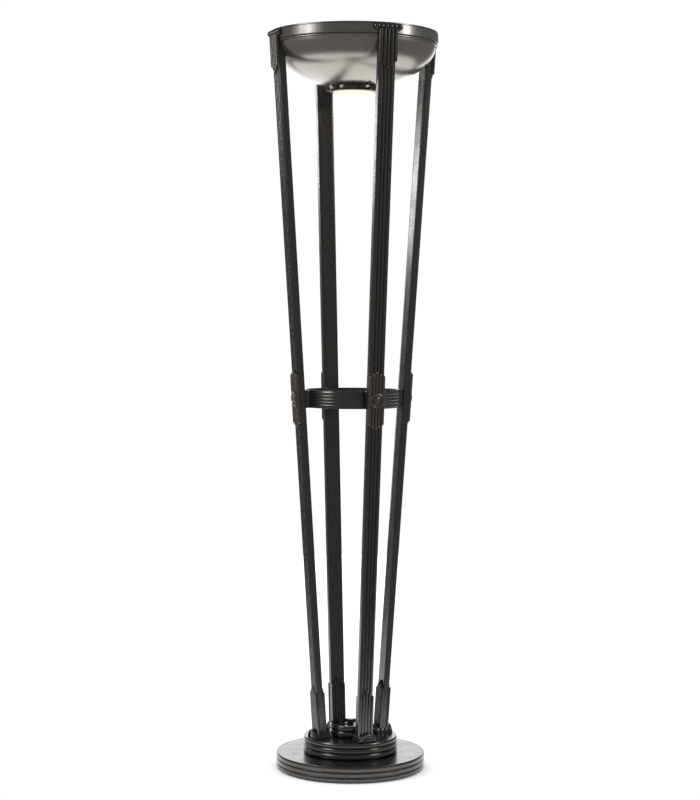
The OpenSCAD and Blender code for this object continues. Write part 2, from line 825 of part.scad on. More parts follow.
felt_pad();
bottom_cover();
cover_screws();
base_disc();
ballast();
ballast_bolts();
inlet_bush();
drum();
hub();
tie_bolts();
dimmer_body();
dimmer_nut();
dimmer_knob();
foot_1();
foot_2();
foot_3();
foot_4();
leg_1();
leg_2();
leg_3();
leg_4();
leg_bolts();
lower_straps_outer();
lower_straps_inner();
mid_strap_1();
mid_strap_2();
mid_strap_3();
mid_strap_4();
boss_bolts();
ring_band();
ring_blocks();
ring_nuts();
top_strap_1();
top_strap_2();
top_strap_3();
top_strap_4();
capital_1();
capital_2();
capital_3();
capital_4();
rim_band();
rim_screws();
bowl();
gallery_ring();
thumbscrew_1();
thumbscrew_2();
thumbscrew_3();
lens();
lamp_bridge();
bridge_screws();
terminal_block();
lamp_holders();
bulb_1();
bulb_2();
bulb_3();
lead_wire();
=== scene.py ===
"""Torchiere floor lamp: four leaning reeded legs on a turned base carry a spun bowl shade.

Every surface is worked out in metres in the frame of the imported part. Lengths in the classes are
millimetres, as a maker would write them on a drawing, and MM turns them to metres.
"""

import json
import logging
import math
from dataclasses import dataclass, field
from enum import Enum

import bmesh
import bpy
import numpy as np
from mathutils import Matrix, Vector

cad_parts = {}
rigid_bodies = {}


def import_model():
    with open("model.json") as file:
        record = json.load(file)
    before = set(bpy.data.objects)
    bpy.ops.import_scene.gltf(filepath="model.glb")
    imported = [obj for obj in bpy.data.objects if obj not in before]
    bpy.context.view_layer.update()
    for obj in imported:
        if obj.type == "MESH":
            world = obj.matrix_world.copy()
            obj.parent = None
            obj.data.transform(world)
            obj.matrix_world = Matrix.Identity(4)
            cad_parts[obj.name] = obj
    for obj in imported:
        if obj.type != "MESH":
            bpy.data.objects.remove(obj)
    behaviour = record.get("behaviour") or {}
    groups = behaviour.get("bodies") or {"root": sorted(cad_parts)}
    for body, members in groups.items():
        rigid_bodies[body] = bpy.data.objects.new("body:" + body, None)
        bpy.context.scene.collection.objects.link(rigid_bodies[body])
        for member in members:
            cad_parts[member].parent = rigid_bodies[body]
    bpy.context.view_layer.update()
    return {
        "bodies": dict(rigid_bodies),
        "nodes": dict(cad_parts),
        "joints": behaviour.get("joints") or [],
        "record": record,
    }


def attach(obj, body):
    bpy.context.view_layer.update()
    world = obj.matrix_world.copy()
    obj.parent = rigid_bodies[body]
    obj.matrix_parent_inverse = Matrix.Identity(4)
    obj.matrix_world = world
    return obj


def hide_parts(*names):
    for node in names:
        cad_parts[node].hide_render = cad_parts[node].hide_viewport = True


LOG = logging.getLogger("torchiere")
MM = 0.001
Array = np.ndarray
# Points nearer than this become one, and edges shorter than the next are dissolved, in metres
MERGE_DIST = 2e-6
THIN_EDGE = 1e-6
# Edges that turn more than this many degrees stay crisp
CREASE_DEG = 32.0
# Gap in millimetres between a leg or block and the surface that it meets
SKIN = 0.02


# ---- Colour and node helpers ----


def linear(hex_colour: str) -> tuple[float, float, float, float]:
    """Turns an sRGB hex colour to linear light.

    Args:
        hex_colour: six hex digits after a hash sign.

    Returns:
        Red, green, blue and an alpha of one.
    """
    parts = np.array([int(hex_colour[i : i + 2], 16) for i in (1, 3, 5)]) / 255.0
    low = parts / 12.92
    high = ((parts + 0.055) / 1.055) ** 2.4
    red, green, blue = np.where(parts <= 0.04045, low, high)
    return (float(red), float(green), float(blue), 1.0)


def add_node(
    tree: bpy.types.NodeTree,
    kind: str,
    settings: dict[str, object] | None = None,
    values: dict[str | int, object] | None = None,
    links: dict[str | int, bpy.types.NodeSocket] | None = None,
) -> bpy.types.Node:
    """Adds one node to a tree.

    Args:
        tree: the tree it goes into.
        kind: the node's type name.
        settings: properties of the node.
        values: default values of its input sockets.
        links: output sockets that feed its input sockets.

    Returns:
        The new node.
    """
    node = tree.nodes.new(kind)
    for name, value in (settings or {}).items():
        setattr(node, name, value)
    for name, value in (values or {}).items():
        node.inputs[name].default_value = value
    for name, source in (links or {}).items():
        tree.links.new(source, node.inputs[name])
    return node


def ramp(node: bpy.types.Node, stops: list[tuple[float, tuple[float, float, float, float]]]) -> None:
    """Sets a colour ramp's stops.

    Args:
        node: the ramp node.
        stops: position and colour of each stop, in order.
    """
    elements = node.color_ramp.elements
    while len(elements) < len(stops):
        elements.new(1.0)
    for element, (position, colour) in zip(elements, stops):
        element.position = position
        element.color = colour


def grey(value: float) -> tuple[float, float, float, float]:
    """A neutral colour of that linear value."""
    return (value, value, value, 1.0)


# ---- Finishes ----


@dataclass(frozen=True)
class Finish:
    """A finish: the material's name and the record's slot it belongs to."""

    name: str
    slot: str

    def material(self) -> bpy.types.Material:
        """The finish's material, made the first time it is asked for.

        Returns:
            The material, shared by every piece with this finish.
        """
        made = bpy.data.materials.get(self.name)
        if made is None:
            made = bpy.data.materials.new(self.name)
            made.use_nodes = True
            made.node_tree.nodes.clear()
            self.build(made.node_tree)
        return made

    def build(self, tree: bpy.types.NodeTree) -> None:
        """Puts the finish's nodes into an empty tree."""
        raise NotImplementedError

    def surface(
        self,
        tree: bpy.types.NodeTree,
        values: dict[str | int, object],
        links: dict[str | int, bpy.types.NodeSocket],
    ) -> bpy.types.Node:
        """Adds the surface shader and the tree's output.

        Args:
            tree: the material's tree.
            values: settings that are the same all over the surface.
            links: sockets that vary over the surface.

        Returns:
            The surface shader.
        """
        shader = add_node(tree, "ShaderNodeBsdfPrincipled", values=values, links=links)
        add_node(tree, "ShaderNodeOutputMaterial", links={"Surface": shader.outputs[0]})
        return shader


@dataclass(frozen=True)
class BronzedMetal(Finish):
    """Die-cast and extruded metal, plated dark and bronzed, under a satin lacquer.

    It gives the eye a near-black brown sheen: colour is painted darker where surfaces close in, as shade
    in grooves and between parts mixed with patina, open faces keep a lighter unshaded tone, and the
    lacquer's gloss wanders over a few centimetres. The grain is drawn coarser than that of a casting, so
    that it shows.
    """

    # Colours of the painted shade: deep in the closest hollows, mid, and the unshaded tone on open faces
    deep: str = "#1e1d1c"
    mid: str = "#484645"
    unshaded: str = "#565452"
    warm: str = "#4f4843"
    roughness: float = 0.24
    coat: float = 0.3
    groove_mm: float = 4.5
    patch_mm: float = 38.0
    grain_mm: float = 3.0
    relief: float = 0.004

    def build(self, tree: bpy.types.NodeTree) -> None:
        """Painted shade mixed with patina where surfaces close in on each other, warm patches and a fine
        cast grain.

        Args:
            tree: the material's empty tree.
        """
        place = add_node(tree, "ShaderNodeTexCoord").outputs["Object"]
        hollow = add_node(
            tree,
            "ShaderNodeAmbientOcclusion",
            settings={"samples": 6},
            values={"Distance": self.groove_mm * MM},
        )
        patches = add_node(
            tree,
            "ShaderNodeTexNoise",
            values={"Scale": 1.0 / (self.patch_mm * MM), "Detail": 4.0, "Roughness": 0.55},
            links={"Vector": place},
        )
        grain = add_node(
            tree,
            "ShaderNodeTexNoise",
            values={"Scale": 1.0 / (self.grain_mm * MM), "Detail": 3.0, "Roughness": 0.6},
            links={"Vector": place},
        )
        # Painted shade: colour runs from deep through mid to the unshaded tone as the occlusion node finds
        # fewer surfaces close by, darkening grooves and gaps between parts
        painted_shade_ramp = add_node(tree, "ShaderNodeValToRGB", links={"Fac": hollow.outputs["AO"]})
        ramp(painted_shade_ramp, [(0.35, linear(self.deep)), (0.85, linear(self.mid)), (1.0, linear(self.unshaded))])
        share = add_node(
            tree,
            "ShaderNodeMapRange",
            values={"From Min": 0.48, "From Max": 0.75, "To Min": 0.0, "To Max": 0.55},
            links={"Value": patches.outputs["Fac"]},
        )
        colour = add_node(
            tree,
            "ShaderNodeMix",
            settings={"data_type": "RGBA"},
            values={7: linear(self.warm)},
            links={0: share.outputs[0], 6: painted_shade_ramp.outputs["Color"]},
        )
        gloss = add_node(
            tree,
            "ShaderNodeMapRange",
            values={
                "From Min": 0.3,
                "From Max": 0.7,
                "To Min": self.roughness - 0.07,
                "To Max": self.roughness + 0.09,
            },
            links={"Value": patches.outputs["Fac"]},
        )
        relief = add_node(
            tree,
            "ShaderNodeBump",
            values={"Strength": self.relief, "Distance": 0.3 * MM},
            links={"Height": grain.outputs["Fac"]},
        )
        self.surface(
            tree,
            {"Metallic": 0.9, "Coat Weight": self.coat, "Coat Roughness": 0.22},
            {
                "Base Color": colour.outputs[2],
                "Roughness": gloss.outputs[0],
                "Normal": relief.outputs["Normal"],
            },
        )


@dataclass(frozen=True)
class SpunPewter(Finish):
    """Spun sheet metal in a satin pewter lacquer.

    It gives the eye a soft grey bowl with the faint rings that the spinning tool leaves.
    """

    base: str = "#b1aea7"
    dark: str = "#9c9992"
    roughness: float = 0.24
    ring_mm: float = 1.4
    clouds_per_m: float = 18.0

    def build(self, tree: bpy.types.NodeTree) -> None:
        """Rings by height: noise that hardly changes round the bowl and changes fast with height.

        Args:
            tree: the material's empty tree.
        """
        place = add_node(tree, "ShaderNodeTexCoord").outputs["Object"]
        stretch = add_node(
            tree,
            "ShaderNodeMapping",
            values={"Scale": (2.0, 2.0, 1.0 / (self.ring_mm * MM))},
            links={"Vector": place},
        )
        rings = add_node(
            tree,
            "ShaderNodeTexNoise",
            values={"Scale": 1.0, "Detail": 3.0, "Roughness": 0.5},
            links={"Vector": stretch.outputs[0]},
        )
        clouds = add_node(
            tree,
            "ShaderNodeTexNoise",
            values={"Scale": self.clouds_per_m, "Detail": 3.0},
            links={"Vector": place},
        )
        colour = add_node(
            tree,
            "ShaderNodeMix",
            settings={"data_type": "RGBA"},
            values={6: linear(self.dark), 7: linear(self.base)},
            links={0: clouds.outputs["Fac"]},
        )
        gloss = add_node(
            tree,
            "ShaderNodeMapRange",
            values={
                "From Min": 0.3,
                "From Max": 0.7,
                "To Min": self.roughness - 0.015,
                "To Max": self.roughness + 0.02,
            },
            links={"Value": rings.outputs["Fac"]},
        )
        relief = add_node(
            tree,
            "ShaderNodeBump",
            values={"Strength": 0.006, "Distance": 0.2 * MM},
            links={"Height": rings.outputs["Fac"]},
        )
        self.surface(
            tree,
            {"Metallic": 0.95, "Coat Weight": 0.15, "Coat Roughness": 0.25},
            {
                "Base Color": colour.outputs[2],
                "Roughness": gloss.outputs[0],
                "Normal": relief.outputs["Normal"],
            },
        )


@dataclass(frozen=True)
class GlowingGlass(Finish):
    """Frosted or opal glass lit from behind.

    It gives the eye a warm cream that is brightest where the light behind is nearest. The frosting
    is drawn coarser than it is, so that it shows.
    """

    tint: str = "#fff3dc"
    edge: str = "#f3d9a8"
    strength: float = 1.0
    reach_mm: float = 55.0
    centre_z_mm: float = 1688.0
    body: str = "#a5a19a"
    rim: str = "#5f5740"
    frost_per_m: float = 900.0

    def build(self, tree: bpy.types.NodeTree) -> None:
        """Glow that falls off with distance from a point on the lamp's axis.

        Args:
            tree: the material's empty tree.
        """
        place = add_node(tree, "ShaderNodeTexCoord").outputs["Object"]
        centred = add_node(
            tree,
            "ShaderNodeVectorMath",
            settings={"operation": "DISTANCE"},
            values={1: (0.0, 0.0, self.centre_z_mm * MM)},
            links={0: place},
        )
        near = add_node(
            tree,
            "ShaderNodeMapRange",
            values={"From Min": 0.0, "From Max": self.reach_mm * MM},
            links={"Value": centred.outputs["Value"]},
        )
        frost = add_node(
            tree,
            "ShaderNodeTexNoise",
            values={"Scale": self.frost_per_m, "Detail": 2.0},
            links={"Vector": place},
        )
        colour = add_node(tree, "ShaderNodeValToRGB", links={"Fac": near.outputs[0]})
        stops = [(0.0, self.tint), (0.8, self.edge), (0.93, self.edge), (0.955, self.rim)]
        ramp(colour, [(position, linear(tone)) for position, tone in stops])
        relief = add_node(
            tree,
            "ShaderNodeBump",
            values={"Strength": 0.08, "Distance": 0.1 * MM},
            links={"Height": frost.outputs["Fac"]},
        )
        lit = add_node(
            tree,
            "ShaderNodeMix",
            settings={"data_type": "RGBA", "blend_type": "MULTIPLY"},
            values={0: 1.0, 7: linear(self.body)},
            links={6: colour.outputs["Color"]},
        )
        self.surface(
            tree,
            {"Roughness": 0.45, "IOR": 1.5, "Emission Strength": self.strength},
            {
                "Base Color": lit.outputs[2],
                "Emission Color": colour.outputs["Color"],
                "Normal": relief.outputs["Normal"],
            },
        )


@dataclass(frozen=True)
class GrainedSolid(Finish):
    """A plain solid with a fine grain: plated steel, moulded plastic, cast iron, sheathing.

    It gives the eye one colour that varies by a few percent, with a grain in gloss and relief.
    """

    light: str = "#b9bab8"
    shade: str = "#9fa09e"
    metallic: float = 0.0
    roughness: float = 0.4
    grain_mm: float = 1.2
    relief: float = 0.1
    broad_per_m: float = 30.0

    def build(self, tree: bpy.types.NodeTree) -> None:
        """A fine noise drives gloss and relief, and a broad one drives colour.

        Args:
            tree: the material's empty tree.
        """
        place = add_node(tree, "ShaderNodeTexCoord").outputs["Object"]
        grain = add_node(
            tree,
            "ShaderNodeTexNoise",
            values={"Scale": 1.0 / (self.grain_mm * MM), "Detail": 4.0, "Roughness": 0.6},
            links={"Vector": place},
        )
        broad = add_node(
            tree,
            "ShaderNodeTexNoise",
            values={"Scale": self.broad_per_m, "Detail": 3.0},
            links={"Vector": place},
        )
        colour = add_node(
            tree,
            "ShaderNodeMix",
            settings={"data_type": "RGBA"},
            values={6: linear(self.shade), 7: linear(self.light)},
            links={0: broad.outputs["Fac"]},
        )
        gloss = add_node(
            tree,
            "ShaderNodeMapRange",
            values={
                "From Min": 0.3,
                "From Max": 0.7,
                "To Min": self.roughness - 0.06,
                "To Max": self.roughness + 0.08,
            },
            links={"Value": grain.outputs["Fac"]},
        )
        relief = add_node(
            tree,
            "ShaderNodeBump",
            values={"Strength": self.relief, "Distance": 0.3 * MM},
            links={"Height": grain.outputs["Fac"]},
        )
        self.surface(
            tree,
            {"Metallic": self.metallic},
            {
                "Base Color": colour.outputs[2],
                "Roughness": gloss.outputs[0],
                "Normal": relief.outputs["Normal"],
            },
        )


@dataclass(frozen=True)
class NeedledFelt(Finish):
    """Needled wool felt, dyed black.

    It gives the eye a matt dark edge with short fibres that catch the light. They are drawn
    thicker than wool, so that they show.
    """

    light: str = "#2e2d2b"
    shade: str = "#161615"
    fibre_mm: float = 0.8

    def build(self, tree: bpy.types.NodeTree) -> None:
        """Fibres as a high, rough noise that drives colour and relief.

        Args:
            tree: the material's empty tree.
        """
        place = add_node(tree, "ShaderNodeTexCoord").outputs["Object"]
        fibre = add_node(
            tree,
            "ShaderNodeTexNoise",
            values={
                "Scale": 1.0 / (self.fibre_mm * MM),
                "Detail": 6.0,
                "Roughness": 0.75,
                "Distortion": 1.5,
            },
            links={"Vector": place},
        )
        colour = add_node(
            tree,
            "ShaderNodeMix",
            settings={"data_type": "RGBA"},
            values={6: linear(self.shade), 7: linear(self.light)},
            links={0: fibre.outputs["Fac"]},
        )
        relief = add_node(
            tree,
            "ShaderNodeBump",
            values={"Strength": 0.6, "Distance": 0.4 * MM},
            links={"Height": fibre.outputs["Fac"]},
        )
        self.surface(
            tree,
            {"Roughness": 0.95, "Sheen Weight": 0.3, "Sheen Roughness": 0.5},
            {"Base Color": colour.outputs[2], "Normal": relief.outputs["Normal"]},
        )


class Finishes(Enum):
    """The lamp's finishes."""

    BRONZE = BronzedMetal("bronzed_metal_satin_lacquer", "bronze")
    WARM_BRONZE = BronzedMetal(
        "bronzed_metal_rubbed_warm",
        "bronze",
        deep="#1c1815",
        mid="#5f5853",
        unshaded="#6c655e",
        warm="#645a51",
        roughness=0.27,
    )
    LIGHT_BRONZE = BronzedMetal(
        "bronzed_metal_spun_light",
        "bronze",
        deep="#242322",
        mid="#73716e",
        unshaded="#7d7b78",
        warm="#77736d",
        roughness=0.26,
    )
    GLOSS_BRONZE = BronzedMetal(
        "bronzed_brass_gloss_lacquer",
        "dark_bronze",
        deep="#1d1816",
        mid="#3c3531",
        unshaded="#5a5049",
        warm="#463a30",
        roughness=0.18,
        coat=0.6,
    )
    PEWTER = SpunPewter("spun_metal_pewter_lacquer", "pewter")
    INSIDE_WHITE = GrainedSolid(
        "stoved_white_enamel", "pewter", "#f1efe8", "#e6e3da", roughness=0.35, grain_mm=2.0, relief=0.05
    )
    # The lens is no lamp: its emission is painted light, standing for the bulbs' light passing through the
    # frosted glass, brightest near the axis
    LENS = GlowingGlass(
        "frosted_cream_glass", "lens_glass", tint="#fff9ea", edge="#fbeccb", strength=0.5
    )
    BULB = GlowingGlass(
        "opal_blown_glass",
        "bulb_glass",
        tint="#fff6e6",
        edge="#ffe9c4",
        strength=2.2,
        reach_mm=160.0,
        centre_z_mm=1765.0,
    )
    CAP = GrainedSolid(
        "nickel_plated_brass_cap", "zinc_steel", "#c9c2ae", "#a9a391", metallic=1.0, roughness=0.3
    )
    STEEL = GrainedSolid(
        "zinc_plated_steel", "zinc_steel", "#bdbebb", "#9a9c99", metallic=1.0, roughness=0.34
    )
    IRON = GrainedSolid("sand_cast_iron", "iron", "#4b4a49", "#333231", 0.6, 0.7, grain_mm=2.5, relief=0.5)
    NYLON = GrainedSolid(
        "moulded_black_nylon", "black_plastic", "#2a2a2a", "#1c1c1c", roughness=0.5, grain_mm=0.9
    )
    THERMOSET = GrainedSolid(
        "moulded_cream_thermoset", "holder_plastic", "#e6e1d4", "#d8d2c2", roughness=0.32
    )
    SHEATH = GrainedSolid(
        "extruded_black_sheath", "lead", "#222222", "#161616", roughness=0.55, grain_mm=1.0
    )
    FELT = NeedledFelt("needled_black_felt", "felt")


# ---- Surfaces ----


@dataclass
class Surface:
    """Points and faces of one mesh under construction."""

    points: Array = field(default_factory=lambda: np.zeros((0, 3)))
    faces: list[tuple[int, ...]] = field(default_factory=list)
    marks: list[int] = field(default_factory=list)

    def join(self, other: "Surface") -> "Surface":
        """This surface and another as one.

        Args:
            other: the surface that is added.

        Returns:
            A new surface.
        """
        shift = len(self.points)
        moved = [tuple(i + shift for i in face) for face in other.faces]
        return Surface(
            np.vstack([self.points, other.points]), self.faces + moved, self.marks + other.marks
        )

    def turned(self, degrees: float) -> "Surface":
        """The surface turned about the lamp's axis.

        Args:
            degrees: the turn, from +X towards +Y.

        Returns:
            A new surface.
        """
        a = math.radians(degrees)
        turn = np.array([[math.cos(a), -math.sin(a), 0], [math.sin(a), math.cos(a), 0], [0, 0, 1]])
        return Surface(self.points @ turn.T, self.faces, self.marks)

    def moved(self, frame: Array) -> "Surface":
        """The surface carried by a 4 by 4 frame given in millimetres."""
        return Surface(self.points @ frame[:3, :3].T + frame[:3, 3], self.faces, self.marks)


def net(grid: Array, around: bool = True, along: bool = False, mark: int = 0) -> Surface:
    """Joins a grid of points with four-sided faces.

    Args:
        grid: points, rows by columns by three.
        around: whether the last column joins the first.
        along: whether the last row joins the first.
        mark: number of the material the faces take.

    Returns:
        The surface. Rows that are a single point close when doubles are merged.
    """
    rows, cols = grid.shape[:2]
    index = np.arange(rows * cols).reshape(rows, cols)
    down = np.roll(index, -1, axis=0) if along else index[1:]
    here = index if along else index[:-1]
    if around:
        corners = [here, np.roll(here, -1, axis=1), np.roll(down, -1, axis=1), down]
    else:
        corners = [here[:, :-1], here[:, 1:], down[:, 1:], down[:, :-1]]
    quads = np.stack([c.ravel() for c in corners], axis=1)
    return Surface(grid.reshape(-1, 3), [tuple(q) for q in quads.tolist()], [mark] * len(quads))


def lathe(profile: Array, segments: int = 192, closed: bool = True, mark: int = 0) -> Surface:
    """Turns a profile about the Z axis.

    Each point (r, z) of the profile goes to (r cos a, r sin a, z) at every angle a.

    Args:
        profile: points (r, z). A closed one is a loop, an open one starts and ends on the axis.
        segments: how many steps make the full turn.
        closed: whether the profile's end joins its start.
        mark: number of the material the faces take.

    Returns:
        The turned surface.
    """
    a = np.linspace(0.0, 2.0 * math.pi, segments, endpoint=False)
    r, z = profile[:, 0:1], profile[:, 1:2]
    grid = np.stack([r * np.cos(a), r * np.sin(a), z + 0.0 * a], axis=-1)
    return net(grid, around=True, along=closed, mark=mark)


def arc(
    centre: tuple[float, float], radius: float, start: float, end: float, steps: int = 8
) -> Array:
    """Points on an arc: centre plus radius times (cos, sin) of evenly spaced angles in degrees."""
    a = np.radians(np.linspace(start, end, steps + 1))
    return np.stack([centre[0] + radius * np.cos(a), centre[1] + radius * np.sin(a)], axis=1)


def reeds(r: float, z0: float, pitch: float, count: int, depth: float, steps: int = 14) -> Array:
    """Edge of a reeded side, from below.

    Each reed is an arc that rises from a valley at r - depth to a crest at r and falls again. An
    arc of chord p and rise d has the radius (p^2 / 4 + d^2) / 2 d.

    Args:
        r: radius of the crests.
        z0: height of the lowest valley.
        pitch: height of one reed.
        count: number of reeds.
        depth: depth of the valleys.
        steps: steps in each arc.

    Returns:
        Points (r, z).
    """
    rho = (pitch * pitch / 4.0 + depth * depth) / (2.0 * depth)
    half = math.asin(min(1.0, pitch / 2.0 / rho))
    a = np.linspace(-half, half, steps + 1)
    one = np.stack([r - rho + rho * np.cos(a), pitch / 2.0 + rho * np.sin(a)], axis=1)
    rows = [one[(0 if k == 0 else 1) :] + [0.0, z0 + pitch * k] for k in range(count)]
    return np.vstack(rows)


def chain(*parts: object) -> Array:
    """One outline from points and stretches of points, in order."""
    return np.vstack([np.atleast_2d(np.asarray(part, float)) for part in parts])


def rod_of(profile: Array, origin: Array, axis: Array, segments: int = 64) -> Surface:
    """A turned piece about any axis.

    Args:
        profile: points (r, distance along the axis), starting and ending on the axis.
        origin: where the axis starts.
        axis: the axis's direction.
        segments: how many steps make the full turn.

    Returns:
        The turned surface.
    """
    turned = lathe(profile, segments, closed=False)
    frame = np.eye(4)
    frame[:3, :3] = np.array(Vector(axis).to_track_quat("Z", "Y").to_matrix())
    frame[:3, 3] = origin
    return turned.moved(frame)


def capsule(p: Array, q: Array, r: float, round_p: bool, round_q: bool, around: int = 28) -> Surface:
    """A reed: a round bar from p to q whose ends are half spheres or flat.

    A point is axis(s) + r (cos a, sin a), and over a round end s runs on by r sin b while the
    radius shrinks to r cos b.

    Args:
        p: middle of the first end.
        q: middle of the last end.
        r: radius of the bar.
        round_p: whether the end at p is round.
        round_q: whether the end at q is round.
        around: steps around the bar.

    Returns:
        The closed surface.
    """
    length = float(np.linalg.norm(q - p))
    b = np.linspace(0.0, 90.0, 8)
    cap = np.stack([np.cos(np.radians(b)), np.sin(np.radians(b))], axis=1)
    low = cap[::-1] * [r, -r] if round_p else np.array([[0.0, 0.0], [r, 0.0]])
    high = cap * [r, r] + [0.0, length] if round_q else np.array([[r, length], [0.0, length]])
    return rod_of(np.vstack([low, high]), p, q - p, around)


def add_piece(
    name: str,
    surface: Surface,
    body: str,
    finish: Finishes,
    stands_for: tuple[str, ...],
    inner: Finishes | None = None,
) -> bpy.types.Object:
    """Puts a surface into the scene as a finished piece.

    Args:
        name: the piece's name.
        surface: its points in millimetres, and its faces.
        body: the body it rides on.
        finish: its finish.
        stands_for: the nodes that it takes the place of.
        inner: the finish of the faces marked 1.

    Returns:
        The piece's object.
    """
    mesh = bpy.data.meshes.new(name)
    mesh.from_pydata((surface.points * MM).tolist(), [], surface.faces)
    mesh.polygons.foreach_set("material_index", np.array(surface.marks, np.int32))
    edit = bmesh.new()
    edit.from_mesh(mesh)
    bmesh.ops.remove_doubles(edit, verts=edit.verts, dist=MERGE_DIST)
    bmesh.ops.dissolve_degenerate(edit, edges=edit.edges, dist=THIN_EDGE)
    bmesh.ops.recalc_face_normals(edit, faces=edit.faces)
    edit.to_mesh(mesh)
    edit.free()
    mesh.polygons.foreach_set("use_smooth", np.ones(len(mesh.polygons), bool))
    mesh.set_sharp_from_angle(angle=math.radians(CREASE_DEG))
    piece = bpy.data.objects.new(name, mesh)
    bpy.context.scene.collection.objects.link(piece)
    mesh.materials.append(finish.value.material())
    if inner is not None:
        mesh.materials.append(inner.value.material())
    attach(piece, body)
    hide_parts(*stands_for)
    LOG.info("%s: %d faces on body %s", name, len(mesh.polygons), body)
    return piece


# ---- Base ----


@dataclass
class Base:
    """Felt pad, base disc, drum, hub and dimmer knob, turned about the lamp's axis."""

    body: str = "stand"
    disc_r: float = 186.0
    disc_z: float = 40.0
    pad_t: float = 2.0
    pad_r: float = 180.0
    drum_r: float = 118.0
    deck_z: float = 81.0
    hub_r: float = 52.0
    hub_z: float = 111.0
    knob_r: float = 8.3
    knob_flutes: int = 24
    cover_r: float = 176.4
    cover_z: float = 5.0
    hollow_r: float = 166.0
    top_t: float = 10.0
    hole_r: float = 26.0
    edge_groove: float = 1.7
    bold_groove: float = 2.6
    drum_inner_r: float = 101.0
    deck_t: float = 6.0
    deck_hole_r: float = 30.0
    dish: float = 5.0
    dish_t: float = 4.0
    bush_r: float = 5.3
    shaft_r: float = 3.0
    shaft_len: float = 22.0
    shaft_z: float = 92.0

    def pad_profile(self) -> Array:
        """A flat disc of felt with a softly rounded edge.

        Returns:
            Points (r, z) from the axis back to it.
        """
        return chain(
            [0.0, 0.0],
            arc((self.pad_r - 0.9, 0.9), 0.9, -90, 0, 4),
            arc((self.pad_r - 0.9, self.pad_t - 0.9), 0.9, 0, 90, 4),
            [0.0, self.pad_t],
        )

    def disc_profile(self) -> Array:
        """The disc: three reeds on its edge, a flat top with a small roll, and its hollow inside.

        Returns:
            Points (r, z) of a closed loop.
        """
        pitch = (self.disc_z - self.pad_t) / 3.0
        return chain(
            [self.cover_r, self.pad_t],
            [self.disc_r - 2.0 * self.edge_groove, self.pad_t],
            reeds(self.disc_r, self.pad_t, pitch, 3, self.edge_groove),
            arc((self.disc_r - 3.2, self.disc_z - 1.0), 1.0, 20, 90, 5),
            np.linspace([self.disc_r - 5.0, self.disc_z], [self.hole_r, self.disc_z], 9),
            [self.hole_r, self.disc_z - self.top_t],
            [self.hollow_r, self.disc_z - self.top_t],
            [self.hollow_r, self.cover_z],
            [self.cover_r, self.cover_z],
        )

    def drum_profile(self) -> Array:
        """The drum: three bold reeds under a flat deck, hollow inside.

        Returns:
            Points (r, z) of a closed loop.
        """
        pitch = (self.deck_z - self.disc_z) / 3.0
        return chain(
            [self.drum_inner_r, self.disc_z],
            [self.drum_r - self.bold_groove, self.disc_z],
            reeds(self.drum_r, self.disc_z, pitch, 3, self.bold_groove),
            arc((self.drum_r - 3.6, self.deck_z - 0.8), 0.8, 30, 90, 4),
            np.linspace([self.drum_r - 6.0, self.deck_z], [self.deck_hole_r + 1.0, self.deck_z], 7),
            [self.deck_hole_r, self.deck_z - self.deck_t],
            [self.drum_inner_r, self.deck_z - self.deck_t],
        )

    def hub_profile(self) -> Array:
        """The hub: two reeds, a bright roll round the rim and a dished top with the bush's hole.

        Returns:
            Points (r, z) of a closed loop.
        """
        pitch = (self.hub_z - self.deck_z) / 2.0
        floor = self.hub_z - self.dish
        return chain(
            [self.deck_hole_r, self.deck_z],
            [self.hub_r - self.bold_groove, self.deck_z],
            reeds(self.hub_r, self.deck_z, pitch, 2, self.bold_groove),
            arc((self.hub_r - 3.6, self.hub_z - 0.9), 0.9, 20, 90, 5),
            arc((self.hub_r - 7.0, self.hub_z - 0.9), 0.9, 90, 170, 5),
            arc((self.hub_r - 8.4, floor + 1.4), 1.4, 0, -90, 5) + [1.4, 0.0],
            np.linspace([self.hub_r - 12.0, floor], [12.0, floor], 6),
            arc((9.0, floor + 0.6), 0.6, 60, 180, 4),
            [self.bush_r, floor],
            [self.bush_r, floor - self.dish_t],
            [self.deck_hole_r, floor - self.dish_t],
        )

    def knob(self) -> Surface:
        """The knob: a domed button whose side is fluted.

        Radius is the profile's radius less a share of |cos(n a / 2)|^3, so n shallow flutes run up
        the side and stop below the top.

        Returns:
            The knob's surface.
        """
        skirt, top = self.hub_z - 4.6, self.hub_z + 9.0
        recess_r, recess_z, flute = 7.0, skirt + 3.2, 0.35
        outline = chain(
            [0.0, recess_z],
            [recess_r, recess_z],
            [recess_r, skirt],
            arc((self.knob_r - 0.5, skirt + 0.5), 0.5, -90, 0, 3),
            np.linspace([self.knob_r, skirt + 1.0], [self.knob_r, top - 2.6], 8),
            arc((self.knob_r - 2.4, top - 2.4), 2.4, 0, 78, 8),
            [self.knob_r - 4.4, top - 0.35],
            [self.knob_r - 5.0, top - 0.1],
            arc((0.0, top - 18.0), 18.0, 79.6, 90, 5),
        )
        a = np.linspace(0.0, 2.0 * math.pi, self.knob_flutes * 8, endpoint=False)
        side = (outline[:, 0] > self.knob_r - 0.6) & (outline[:, 1] > skirt + 0.6)
        depth = np.where(side, flute, 0.0)[:, None] * np.abs(np.cos(self.knob_flutes * a / 2.0)) ** 3
        r = outline[:, 0:1] - depth
        grid = np.stack([r * np.cos(a), r * np.sin(a), outline[:, 1:2] + 0.0 * a], axis=-1)
        return net(grid)

